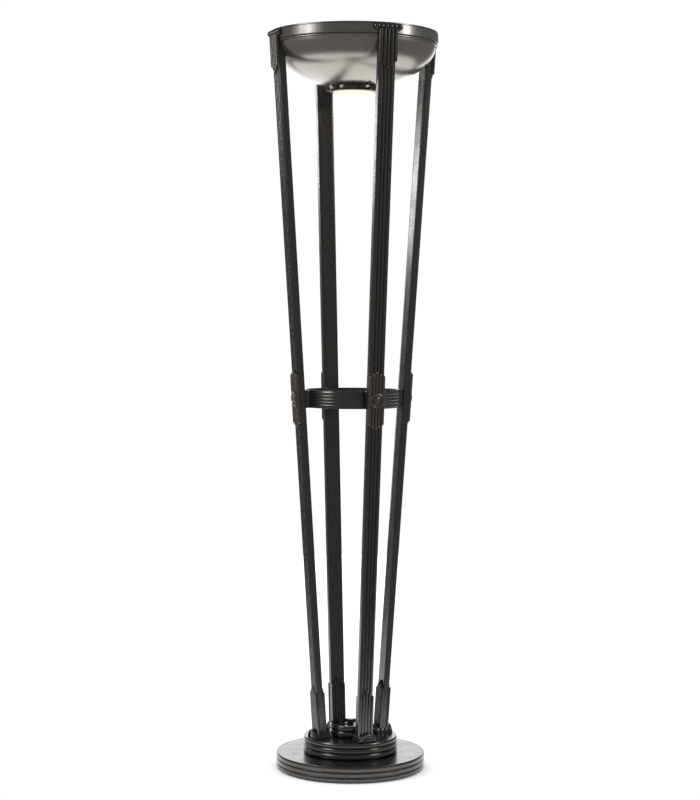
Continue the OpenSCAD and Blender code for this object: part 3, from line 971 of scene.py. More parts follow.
    def build(self) -> None:
        """Makes the base's pieces."""
        pad = lathe(self.pad_profile(), 192, False)
        turned = {
            "base_disc": lathe(self.disc_profile(), 256),
            "drum": lathe(self.drum_profile(), 224),
            "hub": lathe(self.hub_profile(), 160),
        }
        add_piece("felt_pad_disc", pad, self.body, Finishes.FELT, ("felt_pad",))
        for name, surface in turned.items():
            add_piece(f"{name}_turned", surface, self.body, Finishes.BRONZE, (name,))
        rod = chain([0.0, 0.0], [self.shaft_r, 0.0], [self.shaft_r, self.shaft_len], [0.0, self.shaft_len])
        shaft = rod_of(rod, np.array([0, 0, self.shaft_z]), np.array([0, 0, 1.0]))
        knob = self.knob().join(shaft)
        add_piece("dimmer_knob_fluted", knob, "knob", Finishes.GLOSS_BRONZE, ("dimmer_knob",))


# ---- Bowl ----


@dataclass
class Bowl:
    """Bowl shade, rim band, gallery ring, lens and thumbscrews."""

    body: str = "stand"
    top_z: float = 1830.0
    rim_r: float = 208.4
    rim_h: float = 33.0
    depth: float = 103.0
    metal_t: float = 2.0
    opening_r: float = 50.0
    gallery_r: float = 59.0
    gallery_h: float = 15.0
    lens_r: float = 54.0
    first_thumb: float = 48.0

    @property
    def rim_z(self) -> float:
        """Height of the rim band's lower edge."""
        return self.top_z - self.rim_h

    @property
    def floor_z(self) -> float:
        """Height of the bowl's flat floor, from below."""
        return self.rim_z + 1.0 - self.depth + 6.0

    @property
    def gallery_z(self) -> float:
        """Height of the gallery ring's lower edge."""
        return self.floor_z - self.gallery_h

    def shell(self, inset: float, steps: int = 56) -> Array:
        """The bowl's curve from the rim to its floor, moved inward by inset.

        Radius is R cos t and depth is D sin(t)^1.1, from the rim at t = 0 to the floor.

        Args:
            inset: distance inward from the outer face.
            steps: steps along the curve.

        Returns:
            Points (r, z) from the rim down.
        """
        deep = self.depth - inset
        last = math.asin(((self.rim_z + 1.0 - self.floor_z - inset) / deep) ** (1.0 / 1.1))
        t = np.linspace(0.0, last, steps + 1)
        return np.stack(
            [(self.rim_r - 5.2 - inset) * np.cos(t), self.rim_z + 1.0 - deep * np.sin(t) ** 1.1], axis=1
        )

    def outer_radius(self, z: Array) -> Array:
        """Radius of the bowl and rim band from outside.

        Args:
            z: heights.

        Returns:
            The radius at each height, and nought below the bowl.
        """
        curve = self.shell(0.0)[::-1]
        r = np.interp(z, curve[:, 1], curve[:, 0], left=0.0)
        bead = self.rim_r - 0.6
        r = np.where(z >= self.rim_z, bead, r)
        return np.where(z >= self.rim_z + 6.5, self.rim_r, r)

    def bowl(self) -> Surface:
        """The spun shell: outside in pewter, inside in white enamel.

        Returns:
            The shell's surface, with its inside marked 1.
        """
        outer_r, collar_z = self.rim_r - 4.1, self.top_z - 18.0
        outside = chain(
            [outer_r, collar_z],
            [outer_r, self.rim_z + 1.2],
            self.shell(0.0),
            [self.opening_r + 1.0, self.floor_z],
            [self.opening_r, self.floor_z + 0.6],
        )
        inside = chain(
            [self.opening_r, self.floor_z + 0.6],
            [self.opening_r, self.floor_z + self.metal_t],
            self.shell(self.metal_t)[::-1],
            [outer_r - self.metal_t, self.rim_z + 4.0],
            [outer_r - self.metal_t, collar_z],
            [outer_r, collar_z],
        )
        return lathe(outside, 224, False).join(lathe(inside, 224, False, mark=1))

    def rim_profile(self) -> Array:
        """The rim band: a bead and groove below, a plain band, and a fine groove and roll on top.

        Returns:
            Points (r, z) of a closed loop.
        """
        inner, bead = self.rim_r - 4.0, 5.5
        low, high = self.rim_z, self.top_z
        return chain(
            [inner, low + 1.0],
            [self.rim_r - 4.6, low + 1.0],
            [self.rim_r - 3.0, low],
            reeds(self.rim_r - 0.6, low, bead, 1, 1.4, 10),
            [self.rim_r - 1.7, low + bead + 0.9],
            arc((self.rim_r - 0.7, low + bead + 2.0), 0.7, -60, 0, 3),
            np.linspace([self.rim_r, low + bead + 3.0], [self.rim_r, high - 4.6], 6),
            arc((self.rim_r, high - 3.6), 0.8, 270, 90, 6),
            arc((self.rim_r - 1.4, high - 1.4), 1.4, 0, 90, 6),
            arc((inner + 0.8, high - 0.8), 0.8, 90, 180, 4),
        )

    def gallery_profile(self) -> Array:
        """The gallery ring: a rounded lip below, a cove, and a thin roll against the bowl.

        Returns:
            Points (r, z) of a closed loop.
        """
        inner = self.lens_r + 0.5
        low, high = self.gallery_z, self.floor_z
        return chain(
            [inner, low + 0.5],
            [inner + 0.5, low],
            arc((self.gallery_r - 1.3, low + 1.3), 1.3, -90, 90, 10),
            [self.gallery_r - 1.0, low + 2.8],
            np.linspace([self.gallery_r - 0.9, low + 3.2], [self.gallery_r - 0.9, high - 3.2], 4),
            arc((self.gallery_r - 1.2, high - 1.3), 1.2, -80, 80, 8),
            [self.gallery_r - 1.2, high],
            [self.opening_r + 0.1, high],
            [self.opening_r + 0.1, high - 2.0],
            [inner, high - 2.0],
        )

    def lens(self) -> Surface:
        """The lens: a shallow flat-bottomed dish of glass with a turned-up lip.

        Returns:
            The lens's surface.
        """
        z = self.gallery_z - 0.5
        lip, thick = 8.0, 4.0
        return lathe(
            chain(
                [0.0, z],
                np.linspace([10.0, z], [self.lens_r - 3.0, z], 6),
                arc((self.lens_r - 1.6, z + 1.6), 1.6, -90, 0, 6),
                arc((self.lens_r - 1.2, z + lip - 1.2), 1.2, 0, 180, 8),
                arc((self.lens_r - 4.4, z + thick + 2.0), 2.0, 0, -90, 5),
                [0.0, z + thick],
            ),
            160,
            False,
        )

    def thumbscrew(self, degrees: float) -> Surface:
        """A thumbscrew: a ball on a collar and stem, turned about a radial axis.

        Args:
            degrees: its place round the gallery ring.

        Returns:
            The thumbscrew's surface.
        """
        a = math.radians(degrees)
        out = np.array([math.cos(a), math.sin(a), 0.0])
        origin = out * self.lens_r + [0.0, 0.0, self.gallery_z + 4.5]
        collar = self.gallery_r - self.lens_r + 0.2
        ball, ball_at = 4.0, collar + 4.6
        neck = math.degrees(math.asin(1.6 / ball))
        outline = chain(
            [0.0, 0.3],
            [1.1, 0.3],
            [1.5, 0.8],
            [1.5, collar],
            arc((2.2, collar + 0.4), 0.4, -90, 0, 3),
            arc((2.2, collar + 1.1), 0.4, 0, 90, 3),
            arc((0.0, ball_at), ball, neck - 90.0, 90.0, 16),
        )
        outline[:, 0] = np.abs(outline[:, 0])
        return rod_of(outline, origin, out, 40)

    def build(self) -> None:
        """Makes the bowl's pieces."""
        bowl, body, gloss = self.bowl(), self.body, Finishes.GLOSS_BRONZE
        rim = lathe(self.rim_profile(), 256)
        gallery = lathe(self.gallery_profile(), 160)
        add_piece("bowl_spun", bowl, body, Finishes.PEWTER, ("bowl",), Finishes.INSIDE_WHITE)
        add_piece("rim_band_turned", rim, body, Finishes.LIGHT_BRONZE, ("rim_band",))
        add_piece("gallery_ring_turned", gallery, body, gloss, ("gallery_ring",))
        add_piece("lens_glass", self.lens(), "lens", Finishes.LENS, ("lens",))
        for k in range(3):
            name = f"thumbscrew_{k + 1}"
            turned = self.thumbscrew(self.first_thumb + 120.0 * k)
            add_piece(f"{name}_ball", turned, f"thumb_{k + 1}", gloss, (name,))


# ---- Legs ----


@dataclass(frozen=True)
class StrapSize:
    """Sizes of one kind of strap.

    It is over wider than its leg and its crests stand thick above the leg's face. Its outer reeds
    reach up and down, and each next reed goes a step further, or none at a flat end.
    """

    over: float
    thick: float
    up: float
    down: float
    step_up: float = 0.0
    step_down: float = 0.0


@dataclass
class Legs:
    """Four leaning reeded legs with their feet, straps, bosses, blocks and capitals.

    Every size along a leg is linear in height. A leg is drawn in its own frame, X outward and Y
    along the rim, and turned to its place.
    """

    bowl: Bowl
    body: str = "stand"
    deck_z: float = 81.0
    ref_z: float = 1830.0
    low_r: float = 84.0
    high_r: float = 203.5
    low_w: float = 36.0
    high_w: float = 43.0
    low_d: float = 18.0
    high_d: float = 20.5
    mean_w: float = 40.0
    bevel: float = 2.2
    reed_count: int = 4
    reed_share: float = 0.125
    strap_reeds: int = 5
    mid: StrapSize = StrapSize(2.0, 4.0, 57.0, 57.0, step_up=5.0, step_down=5.0)
    top: StrapSize = StrapSize(5.0, 4.0, 33.0, 40.0, step_down=8.5)
    low_outer: StrapSize = StrapSize(3.0, 3.0, 61.0, 40.0, step_up=8.5)
    low_inner: StrapSize = StrapSize(0.0, 6.0, 61.0, 40.0, step_up=8.5)
    ring_z: float = 927.0
    ring_h: float = 44.0
    ring_r: float = 120.0
    block_w: float = 34.0
    foot_r: float = 23.5
    foot_len: float = 46.0
    capital_z: float = 1819.0
    bead_r: float = 8.2
    bead_pitch: float = 11.6
    bead_axis_r: float = 209.0
    beads: int = 6
    neck_share: float = 0.66

    def along(self, z: float | Array, low: float, high: float) -> float | Array:
        """A size that is low at the deck and high at the rim, linear between."""
        return low + (high - low) * (z - self.deck_z) / (self.ref_z - self.deck_z)

    def face(self, z: float | Array) -> float | Array:
        """Radius of a leg's outward face at height z."""
        return self.along(z, self.low_r + self.low_d / 2.0, self.high_r + self.high_d / 2.0)

    def back(self, z: float | Array) -> float | Array:
        """Radius of a leg's inward face at height z."""
        return self.along(z, self.low_r - self.low_d / 2.0, self.high_r - self.high_d / 2.0)

    def width(self, z: float | Array) -> float | Array:
        """Width of a leg at height z."""
        return self.along(z, self.low_w, self.high_w)

    def lean(self, outward: bool) -> float:
        """Angle in radians that the outward or inward face leans outward."""
        run = self.face if outward else self.back
        return math.atan((run(self.ref_z) - run(self.deck_z)) / (self.ref_z - self.deck_z))

    def frame_at(self, z: float, outward: bool = True) -> Array:
        """Frame on a leg's face: X square to the face and away from the leg, Z along the leg.

        Args:
            z: height of the frame's origin.
            outward: whether it lies on the outward face.

        Returns:
            The 4 by 4 frame.
        """
        lean = self.lean(outward)
        along = np.array([math.sin(lean), 0.0, math.cos(lean)])
        square = np.array([math.cos(lean), 0.0, -math.sin(lean)])
        if not outward:
            square = -square
        frame = np.eye(4)
        frame[:3, 0] = square
        frame[:3, 1] = np.cross(along, square)
        frame[:3, 2] = along
        frame[:3, 3] = [self.face(z) if outward else self.back(z), 0.0, z]
        return frame

    def section(self) -> tuple[Array, Array]:
        """Outline of a leg across its length, in shares.

        The first number runs from 0 at the inward face to 1 at the outward crests, the second from
        -1 to 1 across the width. The outward side is four arcs between two bevels.

        Returns:
            The first and the second number of each point.
        """
        reed = 1.0 - 2.0 * self.bevel / self.mean_w
        y = []
        x = []
        for k in range(self.reed_count):
            a = np.linspace(-1.0, 1.0, 11)[(0 if k == 0 else 1) :]
            middle = (k - (self.reed_count - 1) / 2.0) * 2.0 / self.reed_count
            y.append((middle + a / self.reed_count) * reed)
            x.append(1.0 - self.reed_share * a * a)
        out_y, out_x = np.concatenate(y), np.concatenate(x)
        side_x = np.array([0.80, 0.72, 0.4, 0.1, 0.035, 0.0])
        side_y = np.array([0.995, 1.0, 1.0, 1.0, 0.985, 0.93])
        right = np.stack([side_x, side_y], axis=1)
        left = np.stack([side_x[::-1], -side_y[::-1]], axis=1)
        inner = np.stack([np.zeros(5), np.linspace(0.6, -0.6, 5)], axis=1)
        loop = np.vstack([np.stack([out_x, out_y], axis=1), right, inner, left])
        return loop[:, 0], loop[:, 1]

    def bar(self) -> Surface:
        """One leg: its section carried up the leaning line and cut to the bowl and rim.

        At each height the section spans from the inward to the outward face, and any point that
        would lie inside the bowl or rim is moved out to their surface.

        Returns:
            The leg's surface.
        """
        share_x, share_y = self.section()
        bowl_starts, end = 1700.0, self.capital_z - 6.0
        plain = np.linspace(self.deck_z, bowl_starts, 24)[:-1]
        heights = np.concatenate([plain, np.linspace(bowl_starts, end, 90)])
        z = heights[:, None]
        x = self.back(z) + share_x * (self.face(z) - self.back(z))
        y = share_y * self.width(z) / 2.0
        hollow = np.sqrt(np.maximum(self.bowl.outer_radius(z) ** 2 - y * y, 0.0))
        hollow = np.where(self.bowl.outer_radius(z) > 0.0, hollow, 0.0)
        x = np.maximum(x, hollow + SKIN)
        grid = np.stack([x, y, z + 0.0 * y], axis=-1)
        middle = grid.mean(axis=1, keepdims=True)
        ends = [np.repeat(middle[k], grid.shape[1], axis=0)[None] for k in (0, -1)]
        return net(np.concatenate([ends[0], grid, ends[1]]))

    def strap(self, leg_width: float, size: StrapSize, frame: Array) -> Surface:
        """A strap: five reeds side by side on a thin plate, each next reed stepping further.

        Args:
            leg_width: width of the leg under the strap.
            size: the strap's sizes.
            frame: where the strap lies.

        Returns:
            The strap's surface.
        """
        width = leg_width + size.over
        pitch = width / self.strap_reeds
        r = 0.56 * pitch
        made = Surface()
        for k in range(self.strap_reeds):
            rank = min(k, self.strap_reeds - 1 - k)
            y = (k - (self.strap_reeds - 1) / 2.0) * pitch
            p = np.array([size.thick - r, y, -size.down - size.step_down * rank])
            q = np.array([size.thick - r, y, size.up + size.step_up * rank])
            made = made.join(capsule(p, q, r, size.step_down > 0.0, size.step_up > 0.0))
        plate_x = size.thick - 0.45 * pitch + 0.4
        plate = self.slab(-2.6, plate_x, width / 2.0, -size.down, size.up, 0.6)
        return made.join(plate).moved(frame)

    def slab(self, x0: float, x1: float, half: float, z0: float, z1: float, soft: float) -> Surface:
        """A plate with softened long edges: a rounded rectangle carried from z0 to z1.

        Args:
            x0: its underside.
            x1: its upper side.
            half: half its width.
            z0: its lower end.
            z1: its upper end.
            soft: radius of its edges.

        Returns:
            The closed surface.
        """
        corner = chain(
            arc((x1 - soft, half - soft), soft, 0, 90, 3),
            arc((x0 + soft, half - soft), soft, 90, 180, 3),
            arc((x0 + soft, soft - half), soft, 180, 270, 3),
            arc((x1 - soft, soft - half), soft, 270, 360, 3),
        )
        z = np.array([z0, z0, z0 + soft, z1 - soft, z1, z1])
        shrink = np.array([0.0, 1.0, 1.0, 1.0, 1.0, 0.0])
        middle = corner.mean(axis=0)
        flat = middle + (corner[None] - middle) * shrink[:, None, None]
        heights = np.broadcast_to(z[:, None, None], flat.shape[:2] + (1,))
        return net(np.concatenate([flat, heights], axis=2))

    def foot(self) -> Surface:
        """One foot: a half-round bar with four rings and a dished boss in each end.

        The bar is turned about a radial axis, and what would lie below the deck is raised to it,
        which makes its flat underside.

        Returns:
            The foot's surface.
        """
        length, r = self.foot_len, self.foot_r
        end = chain(
            arc((0.0, 40.8), 40.4, -90.0, -69.4, 8),
            [15.2, 3.0],
            [18.0, 3.0],
            arc((20.4, 1.9), 1.9, 180, 320, 8),
        )
        side = reeds(r, 0.0, length / 4.0, 4, 1.2, 10)[1:-1]
        far = end[::-1].copy()
        far[:, 1] = length - far[:, 1]
        outline = np.vstack([end, side, far])
        origin = np.array([self.low_r - length / 2.0, 0.0, self.deck_z - 2.0])
        turned = rod_of(outline, origin, np.array([1.0, 0.0, 0.0]), 96)
        turned.points[:, 2] = np.maximum(turned.points[:, 2], self.deck_z)
        return turned

    def boss(self) -> Surface:
        """The boss on a middle strap: a ring, a dark groove and a domed button on a bolt.

        Returns:
            The boss's surface.
        """
        outline = chain(
            [0.0, -46.0],
            [3.0, -46.0],
            [3.0, -2.5],
            [18.5, -2.5],
            arc((17.6, 0.5), 0.9, 0, 60, 4),
            arc((15.6, -0.3), 2.1, 60, 130, 6),
            [13.0, -0.2],
            [11.2, -0.2],
            arc((9.5, 0.0), 1.0, 0, 60, 4),
            arc((0.0, -18.0), 20.3, 63.0, 90.0, 10),
        )
        frame = self.frame_at(self.ring_z)
        return rod_of(outline, frame[:3, 3] + self.mid.thick * frame[:3, 0], frame[:3, 0], 72)

    def block(self) -> Surface:
        """The block between ring band and leg: a plain bar with softened edges.

        Its inward end follows the ring band's curve and its outward end leans with the leg.

        Returns:
            The block's surface.
        """
        z0, z1 = self.ring_z - self.ring_h / 2.0, self.ring_z + self.ring_h / 2.0
        half, soft = self.block_w / 2.0, 1.2
        loop = chain(
            arc((half - soft, z1 - soft), soft, 0, 90, 4),
            np.linspace([half - soft - 4.0, z1], [soft - half + 4.0, z1], 5),
            arc((soft - half, z1 - soft), soft, 90, 180, 4),
            arc((soft - half, z0 + soft), soft, 180, 270, 4),
            np.linspace([soft - half + 4.0, z0], [half - soft - 4.0, z0], 5),
            arc((half - soft, z0 + soft), soft, 270, 360, 4),
        )
        y, z = loop[:, 0], loop[:, 1]
        near = np.sqrt((self.ring_r - 1.0) ** 2 - y * y)
        far = self.back(z) - SKIN
        grid = np.stack([np.stack([near + t * (far - near), y, z], axis=1) for t in (0.0, 0.5, 1.0)])
        ends = [np.repeat(grid[k].mean(axis=0)[None], len(loop), axis=0)[None] for k in (0, -1)]
        return net(np.concatenate([ends[0], grid, ends[1]]))

    def capital(self) -> Surface:
        """One capital: six beads in a row turned about a line along the rim.

        The radius at a place on the line is the largest of the bead circles there, and never less
        than the neck's.

        Returns:
            The capital's surface.
        """
        half = (self.beads - 1) / 2.0 * self.bead_pitch
        t = half + self.bead_r
        s = np.concatenate([[-t], -t + self.bead_r * (1 - np.cos(np.radians(np.linspace(8, 82, 10))))])
        s = np.concatenate([s, np.linspace(-half, half, 121), -s[::-1]])
        centres = (np.arange(self.beads) - (self.beads - 1) / 2.0) * self.bead_pitch
        spread = self.bead_r**2 - (s[:, None] - centres) ** 2
        r = np.sqrt(np.maximum(spread.max(axis=1), 0.0))
        inner = np.abs(s) < half
        r = np.where(inner, np.maximum(r, self.neck_share * self.bead_r), r)
        origin = np.array([self.bead_axis_r, 0.0, self.capital_z])
        return rod_of(np.stack([r, s], axis=1), origin, np.array([0.0, 1.0, 0.0]), 56)

    def build(self) -> None:
        """Makes the pieces of all four legs."""
        bronze, body = Finishes.BRONZE, self.body
        turns = [90.0 * (k - 2) for k in range(1, 5)]
        top_z, low_z = self.capital_z - 38.0, self.deck_z + 50.0
        top_w, low_w = self.width(top_z), self.width(self.deck_z + 60.0)
        bar = self.bar()
        foot = self.foot()
        mid = self.strap(self.width(self.ring_z), self.mid, self.frame_at(self.ring_z))
        top = self.strap(top_w, self.top, self.frame_at(top_z))
        capital = self.capital()
        groups = {
            "lower_straps_outer": self.strap(low_w, self.low_outer, self.frame_at(low_z)),
            "lower_straps_inner": self.strap(low_w, self.low_inner, self.frame_at(low_z, False)),
            "boss_bolts": self.boss(),
            "ring_blocks": self.block(),
        }
        warm = Finishes.WARM_BRONZE
        for k, turn in enumerate(turns, 1):
            add_piece(f"leg_{k}_reeded", bar.turned(turn), body, bronze, (f"leg_{k}",))
            add_piece(f"foot_{k}_turned", foot.turned(turn), body, bronze, (f"foot_{k}",))
            add_piece(f"mid_strap_{k}_reeded", mid.turned(turn), body, warm, (f"mid_strap_{k}",))
            add_piece(f"top_strap_{k}_reeded", top.turned(turn), body, bronze, (f"top_strap_{k}",))
            add_piece(f"capital_{k}_beaded", capital.turned(turn), body, bronze, (f"capital_{k}",))
        for name, one in groups.items():
            made = Surface()
            for turn in turns:
                made = made.join(one.turned(turn))
            finish = warm if name == "boss_bolts" else bronze
            add_piece(f"{name}_set", made, body, finish, (name,))


# ---- Ring band, lamps and hardware ----


@dataclass
class RingBand:
    """The ring band that holds the legs apart: five reeds between two plain borders."""

    body: str = "stand"
    r: float = 120.0
    t: float = 4.0
    z: float = 927.0
    h: float = 44.0
    border: float = 2.6
    groove: float = 1.4

    def profile(self) -> Array:
        """The band's section, with softened edges.

        Returns:
            Points (r, z) of a closed loop.
        """
        z0, z1 = self.z - self.h / 2.0, self.z + self.h / 2.0
        inner = self.r - self.t
        pitch = (self.h - 2.0 * self.border) / 5.0
        return chain(
            arc((inner + 0.6, z0 + 0.6), 0.6, 180, 270, 3),
            arc((self.r - 2.1, z0 + 0.6), 0.6, 270, 360, 3),
            [self.r - 1.45, z0 + 2.2],
            reeds(self.r, z0 + self.border, pitch, 5, self.groove, 10)[1:-1],
            [self.r - 1.45, z1 - 2.2],
            arc((self.r - 2.1, z1 - 0.6), 0.6, 0, 90, 3),
            arc((inner + 0.6, z1 - 0.6), 0.6, 90, 180, 3),
        )

    def build(self) -> None:
        """Makes the ring band."""
        band = lathe(self.profile(), 224)
        add_piece("ring_band_reeded", band, self.body, Finishes.BRONZE, ("ring_band",))


@dataclass
class Lamps:
    """Bulbs and their holders on the bridge over the bowl's opening."""

    bowl: Bowl
    body: str = "stand"
    at_r: float = 34.0
    bridge_t: float = 2.0
    holder_r: float = 15.0
    holder_h: float = 30.0
    cap_r: float = 13.1
    bulb_r: float = 25.0
    bulb_h: float = 84.0
    bulb_z: float = 4.3
    cap_h: float = 26.4
    thread_pitch: float = 3.6
    shoulder: float = 46.0

    def seat(self) -> float:
        """Height of the bridge's top, where the holders stand."""
        return self.bowl.floor_z + self.bowl.metal_t + self.bridge_t

    def holder(self) -> Surface:
        """A lamp holder: a ribbed cup with a rolled mouth.

        Returns:
            The holder's surface.
        """
        r, h, hole = self.holder_r, self.holder_h, self.cap_r + 0.05
        z = np.linspace(3.0, h - 6.0, 28)
        ribs = np.stack([r - 0.5 + 0.5 * np.cos(z * math.pi / 2.0), z], axis=1)
        return lathe(
            chain(
                [0.0, 0.0],
                arc((r - 1.2, 1.2), 1.2, -90, 0, 4),
                ribs,
                [r - 0.1, h - 4.0],
                arc((r - 0.9, h - 0.9), 0.9, 0, 170, 6),
                [hole, h - 2.0],
                [hole, 4.0],
                [0.0, 4.0],
            ),
            72,
            False,
        )

    def bulb(self) -> Surface:
        """A bulb: a threaded metal cap, and a blown envelope of one smooth pear-shaped curve.

        The envelope is an arc of the ball, joined to the cap by a cubic blend that keeps the
        directions at both of its ends.

        Returns:
            The bulb's surface, with its cap marked 1.
        """
        z0 = self.bulb_z
        globe = z0 + self.bulb_h - self.bulb_r
        z = np.linspace(z0 + 6.0, z0 + 25.0, 60)
        wave = np.cos(z * 2.0 * math.pi / self.thread_pitch)
        thread = np.stack([self.cap_r - 0.45 + 0.4 * wave, z], axis=1)
        neck_r, neck_z = self.cap_r - 0.2, z0 + self.cap_h
        foot = arc((3.0, z0 + 1.0), 1.0, -90, 0, 3)
        outline = chain([0.0, z0], foot, [5.5, z0 + 2.4], [11.5, z0 + 5.0], thread, [neck_r, neck_z])
        cap = lathe(outline, 64, False, mark=1)
        ball = arc((0.0, globe), self.bulb_r, -self.shoulder, 90.0, 29)
        t = np.linspace(0.0, 1.0, 10)[1:-1, None]
        start, finish = np.array([neck_r, neck_z]), ball[0]
        rise = finish[1] - start[1]
        pull = np.array([[0.0, rise * 0.6]])
        lean = math.radians(self.shoulder)
        tangent = np.array([[math.sin(lean), math.cos(lean)]]) * rise * 0.5
        blend = (2 * t**3 - 3 * t**2 + 1) * start + (t**3 - 2 * t**2 + t) * pull
        blend = blend + (-2 * t**3 + 3 * t**2) * finish + (t**3 - t**2) * tangent
        glass = lathe(np.vstack([start[None], blend, ball]), 64, False)
        return cap.join(glass)

    def build(self) -> None:
        """Makes the bulbs and holders."""
        holders = Surface()
        for k in range(1, 4):
            a = math.radians(120.0 * (k - 1) - 90.0)
            frame = np.eye(4)
            frame[:3, 3] = [self.at_r * math.cos(a), self.at_r * math.sin(a), self.seat()]
            holders = holders.join(self.holder().moved(frame))
            bulb = self.bulb().moved(frame)
            add_piece(f"bulb_{k}_opal", bulb, f"bulb_{k}", Finishes.BULB, (f"bulb_{k}",), Finishes.CAP)
        add_piece("lamp_holder_set", holders, self.body, Finishes.THERMOSET, ("lamp_holders",))


@dataclass
class Hardware:
    """The nodes that stay as they are and take a finish: screws, bolts, covers and the lead."""

    finishes: dict[str, Finishes] = field(
        default_factory=lambda: {
            "bottom_cover": Finishes.STEEL,
            "cover_screws": Finishes.STEEL,
            "ballast": Finishes.IRON,
            "ballast_bolts": Finishes.STEEL,
            "inlet_bush": Finishes.NYLON,
            "tie_bolts": Finishes.STEEL,
            "dimmer_body": Finishes.NYLON,
            "dimmer_nut": Finishes.STEEL,
            "leg_bolts": Finishes.STEEL,
            "ring_nuts": Finishes.STEEL,
            "rim_screws": Finishes.STEEL,
            "lamp_bridge": Finishes.STEEL,
            "bridge_screws": Finishes.STEEL,
            "terminal_block": Finishes.THERMOSET,
            "lead_wire": Finishes.SHEATH,
        }
    )

    def dress(self, nodes: dict[str, bpy.types.Object]) -> None:
        """Gives each kept node its finish.

        Args:
            nodes: the part's nodes by name.
        """
        for name, finish in self.finishes.items():
            node = nodes[name]
            node.data.materials.clear()
            node.data.materials.append(finish.value.material())
            LOG.info("%s: dressed in %s", name, finish.value.name)


# ---- Studio ----


@dataclass(frozen=True)
class Panel:
    """An upright rectangular soft light that faces the lamp's axis.

    Its azimuth is in degrees and its distance, height and size are in metres. Its radiance is how
    bright it looks in a mirror.
    """

    name: str
    azimuth: float
    away: float
    height: float
    size: tuple[float, float]
    radiance: float


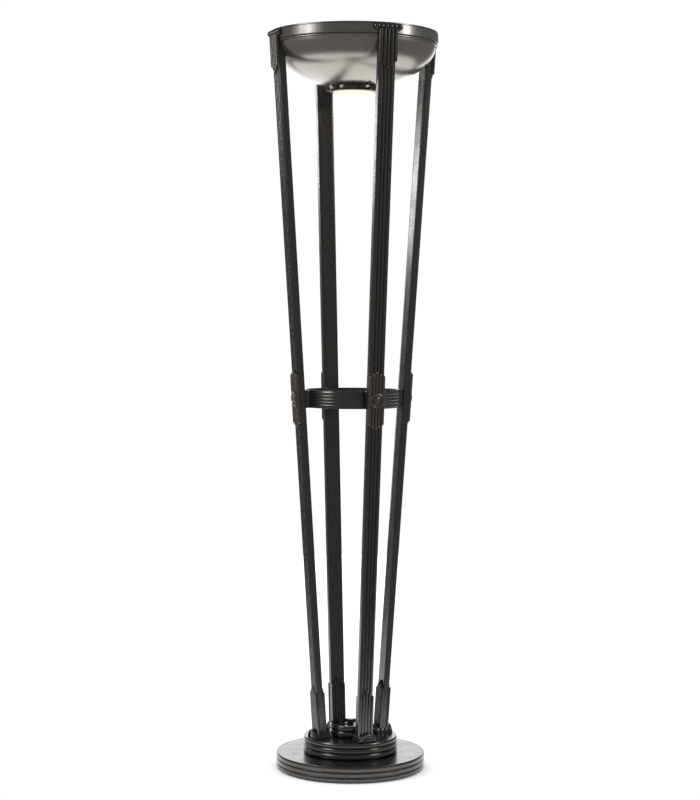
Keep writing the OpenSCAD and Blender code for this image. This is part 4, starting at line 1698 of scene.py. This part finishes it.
@dataclass
class Studio:
    """A plain pale floor, soft lights and the camera."""

    floor_r: float = 2.4
    floor_back: float = 1.85
    floor_half: float = 1.9
    fill: float = 1.3
    room: float = 0.17
    backdrop: float = 1.02
    floor_grey: float = 0.88
    floor_drop: float = 0.0002
    eye: tuple[float, float, float] = (-1.8515, -4.3486, 1.1303)
    heading: float = 67.0
    pitch: float = 2.52
    roll: float = 0.29
    lens_mm: float = 85.28
    panels: tuple[Panel, ...] = (
        Panel("key_left", -179.0, 3.2, 2.8, (1.3, 1.4), 7.0),
        Panel("back_left", 113.0, 4.0, 1.95, (1.0, 0.5), 6.0),
        Panel("side_right", -40.0, 3.2, 2.8, (0.75, 1.4), 9.0),
        Panel("backdrop", 72.0, 4.6, 1.1, (5.2, 2.4), 1.6),
    )

    def floor(self) -> None:
        """An oval sweep of pale matt paint, set back so that the lamp stands near its front."""
        a = np.linspace(0.0, 2.0 * math.pi, 64, endpoint=False)
        heading = math.radians(self.heading)
        deep = self.floor_r * np.cos(a) + self.floor_back
        wide = self.floor_half * np.sin(a)
        x = deep * math.cos(heading) - wide * math.sin(heading)
        y = deep * math.sin(heading) + wide * math.cos(heading)
        ring = np.stack([x, y, 0.0 * a - self.floor_drop], axis=1)
        mesh = bpy.data.meshes.new("studio_floor")
        mesh.from_pydata(ring.tolist(), [], [tuple(range(len(ring)))])
        floor = bpy.data.objects.new("studio_floor", mesh)
        bpy.context.scene.collection.objects.link(floor)
        paint = bpy.data.materials.new("pale_matt_floor_paint")
        paint.use_nodes = True
        shader = paint.node_tree.nodes["Principled BSDF"]
        shader.inputs["Base Color"].default_value = grey(self.floor_grey)
        shader.inputs["Roughness"].default_value = 0.9
        shader.inputs["Specular IOR Level"].default_value = 0.1
        mesh.materials.append(paint)

    def world(self) -> None:
        """The surround: white to the camera, brighter as a fill, and a dim room in reflections."""
        world = bpy.data.worlds.new("studio_surround")
        world.use_nodes = True
        tree = world.node_tree
        tree.nodes.clear()
        path = add_node(tree, "ShaderNodeLightPath")
        white, fill, room = (
            add_node(tree, "ShaderNodeBackground", values={"Color": colour, "Strength": strength})
            for colour, strength in (
                (grey(1.0), self.backdrop),
                (grey(1.0), self.fill),
                (linear("#fffaf4"), self.room),
            )
        )
        seen = add_node(
            tree,
            "ShaderNodeMixShader",
            links={0: path.outputs["Is Glossy Ray"], 1: fill.outputs[0], 2: room.outputs[0]},
        )
        mixed = add_node(
            tree,
            "ShaderNodeMixShader",
            links={0: path.outputs["Is Camera Ray"], 1: seen.outputs[0], 2: white.outputs[0]},
        )
        add_node(tree, "ShaderNodeOutputWorld", links={"Surface": mixed.outputs[0]})
        bpy.context.scene.world = world

    def hang(self, panel: Panel) -> None:
        """Puts one panel up.

        A panel of area A sends out pi A L watts when it shines with radiance L.

        Args:
            panel: the panel.
        """
        lamp = bpy.data.lights.new(panel.name, "AREA")
        lamp.shape = "RECTANGLE"
        lamp.size, lamp.size_y = panel.size
        lamp.energy = math.pi * panel.size[0] * panel.size[1] * panel.radiance
        light = bpy.data.objects.new(panel.name, lamp)
        bpy.context.scene.collection.objects.link(light)
        a = math.radians(panel.azimuth)
        place = Vector((panel.away * math.cos(a), panel.away * math.sin(a), panel.height))
        light.location = place
        light.rotation_mode = "QUATERNION"
        centre = Vector((0.0, 0.0, panel.height))
        light.rotation_quaternion = (centre - place).to_track_quat("-Z", "Y")

    def camera(self) -> None:
        """The camera: its heading, pitch and roll give its axes, and it has no shift."""
        a, p, r = (math.radians(x) for x in (self.heading, self.pitch, self.roll))
        ahead = Vector((math.cos(a) * math.cos(p), math.sin(a) * math.cos(p), -math.sin(p)))
        right = ahead.cross(Vector((0.0, 0.0, 1.0))).normalized()
        up = right.cross(ahead)
        side = right * math.cos(r) + up * math.sin(r)
        top = up * math.cos(r) - right * math.sin(r)
        turn = Matrix((side, top, -ahead)).transposed()
        data = bpy.data.cameras.new("portrait_camera")
        data.lens = self.lens_mm
        data.sensor_width = 36.0
        data.clip_start, data.clip_end = 0.05, 200.0
        camera = bpy.data.objects.new("portrait_camera", data)
        bpy.context.scene.collection.objects.link(camera)
        camera.matrix_world = Matrix.Translation(Vector(self.eye)) @ turn.to_4x4()
        bpy.context.scene.camera = camera

    def build(self) -> None:
        """Sets up floor, surround, lights and camera."""
        self.floor()
        self.world()
        self.camera()
        for panel in self.panels:
            self.hang(panel)
        bpy.context.scene.view_settings.view_transform = "Standard"


def main() -> None:
    """Loads the frame and builds each sub-assembly in order."""
    logging.basicConfig(level=logging.INFO, format="%(name)s %(message)s")
    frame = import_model()
    bowl = Bowl()
    Studio().build()
    Base().build()
    Legs(bowl).build()
    RingBand().build()
    bowl.build()
    Lamps(bowl).build()
    Hardware().dress(frame["nodes"])


if __name__ == "__main__":
    main()
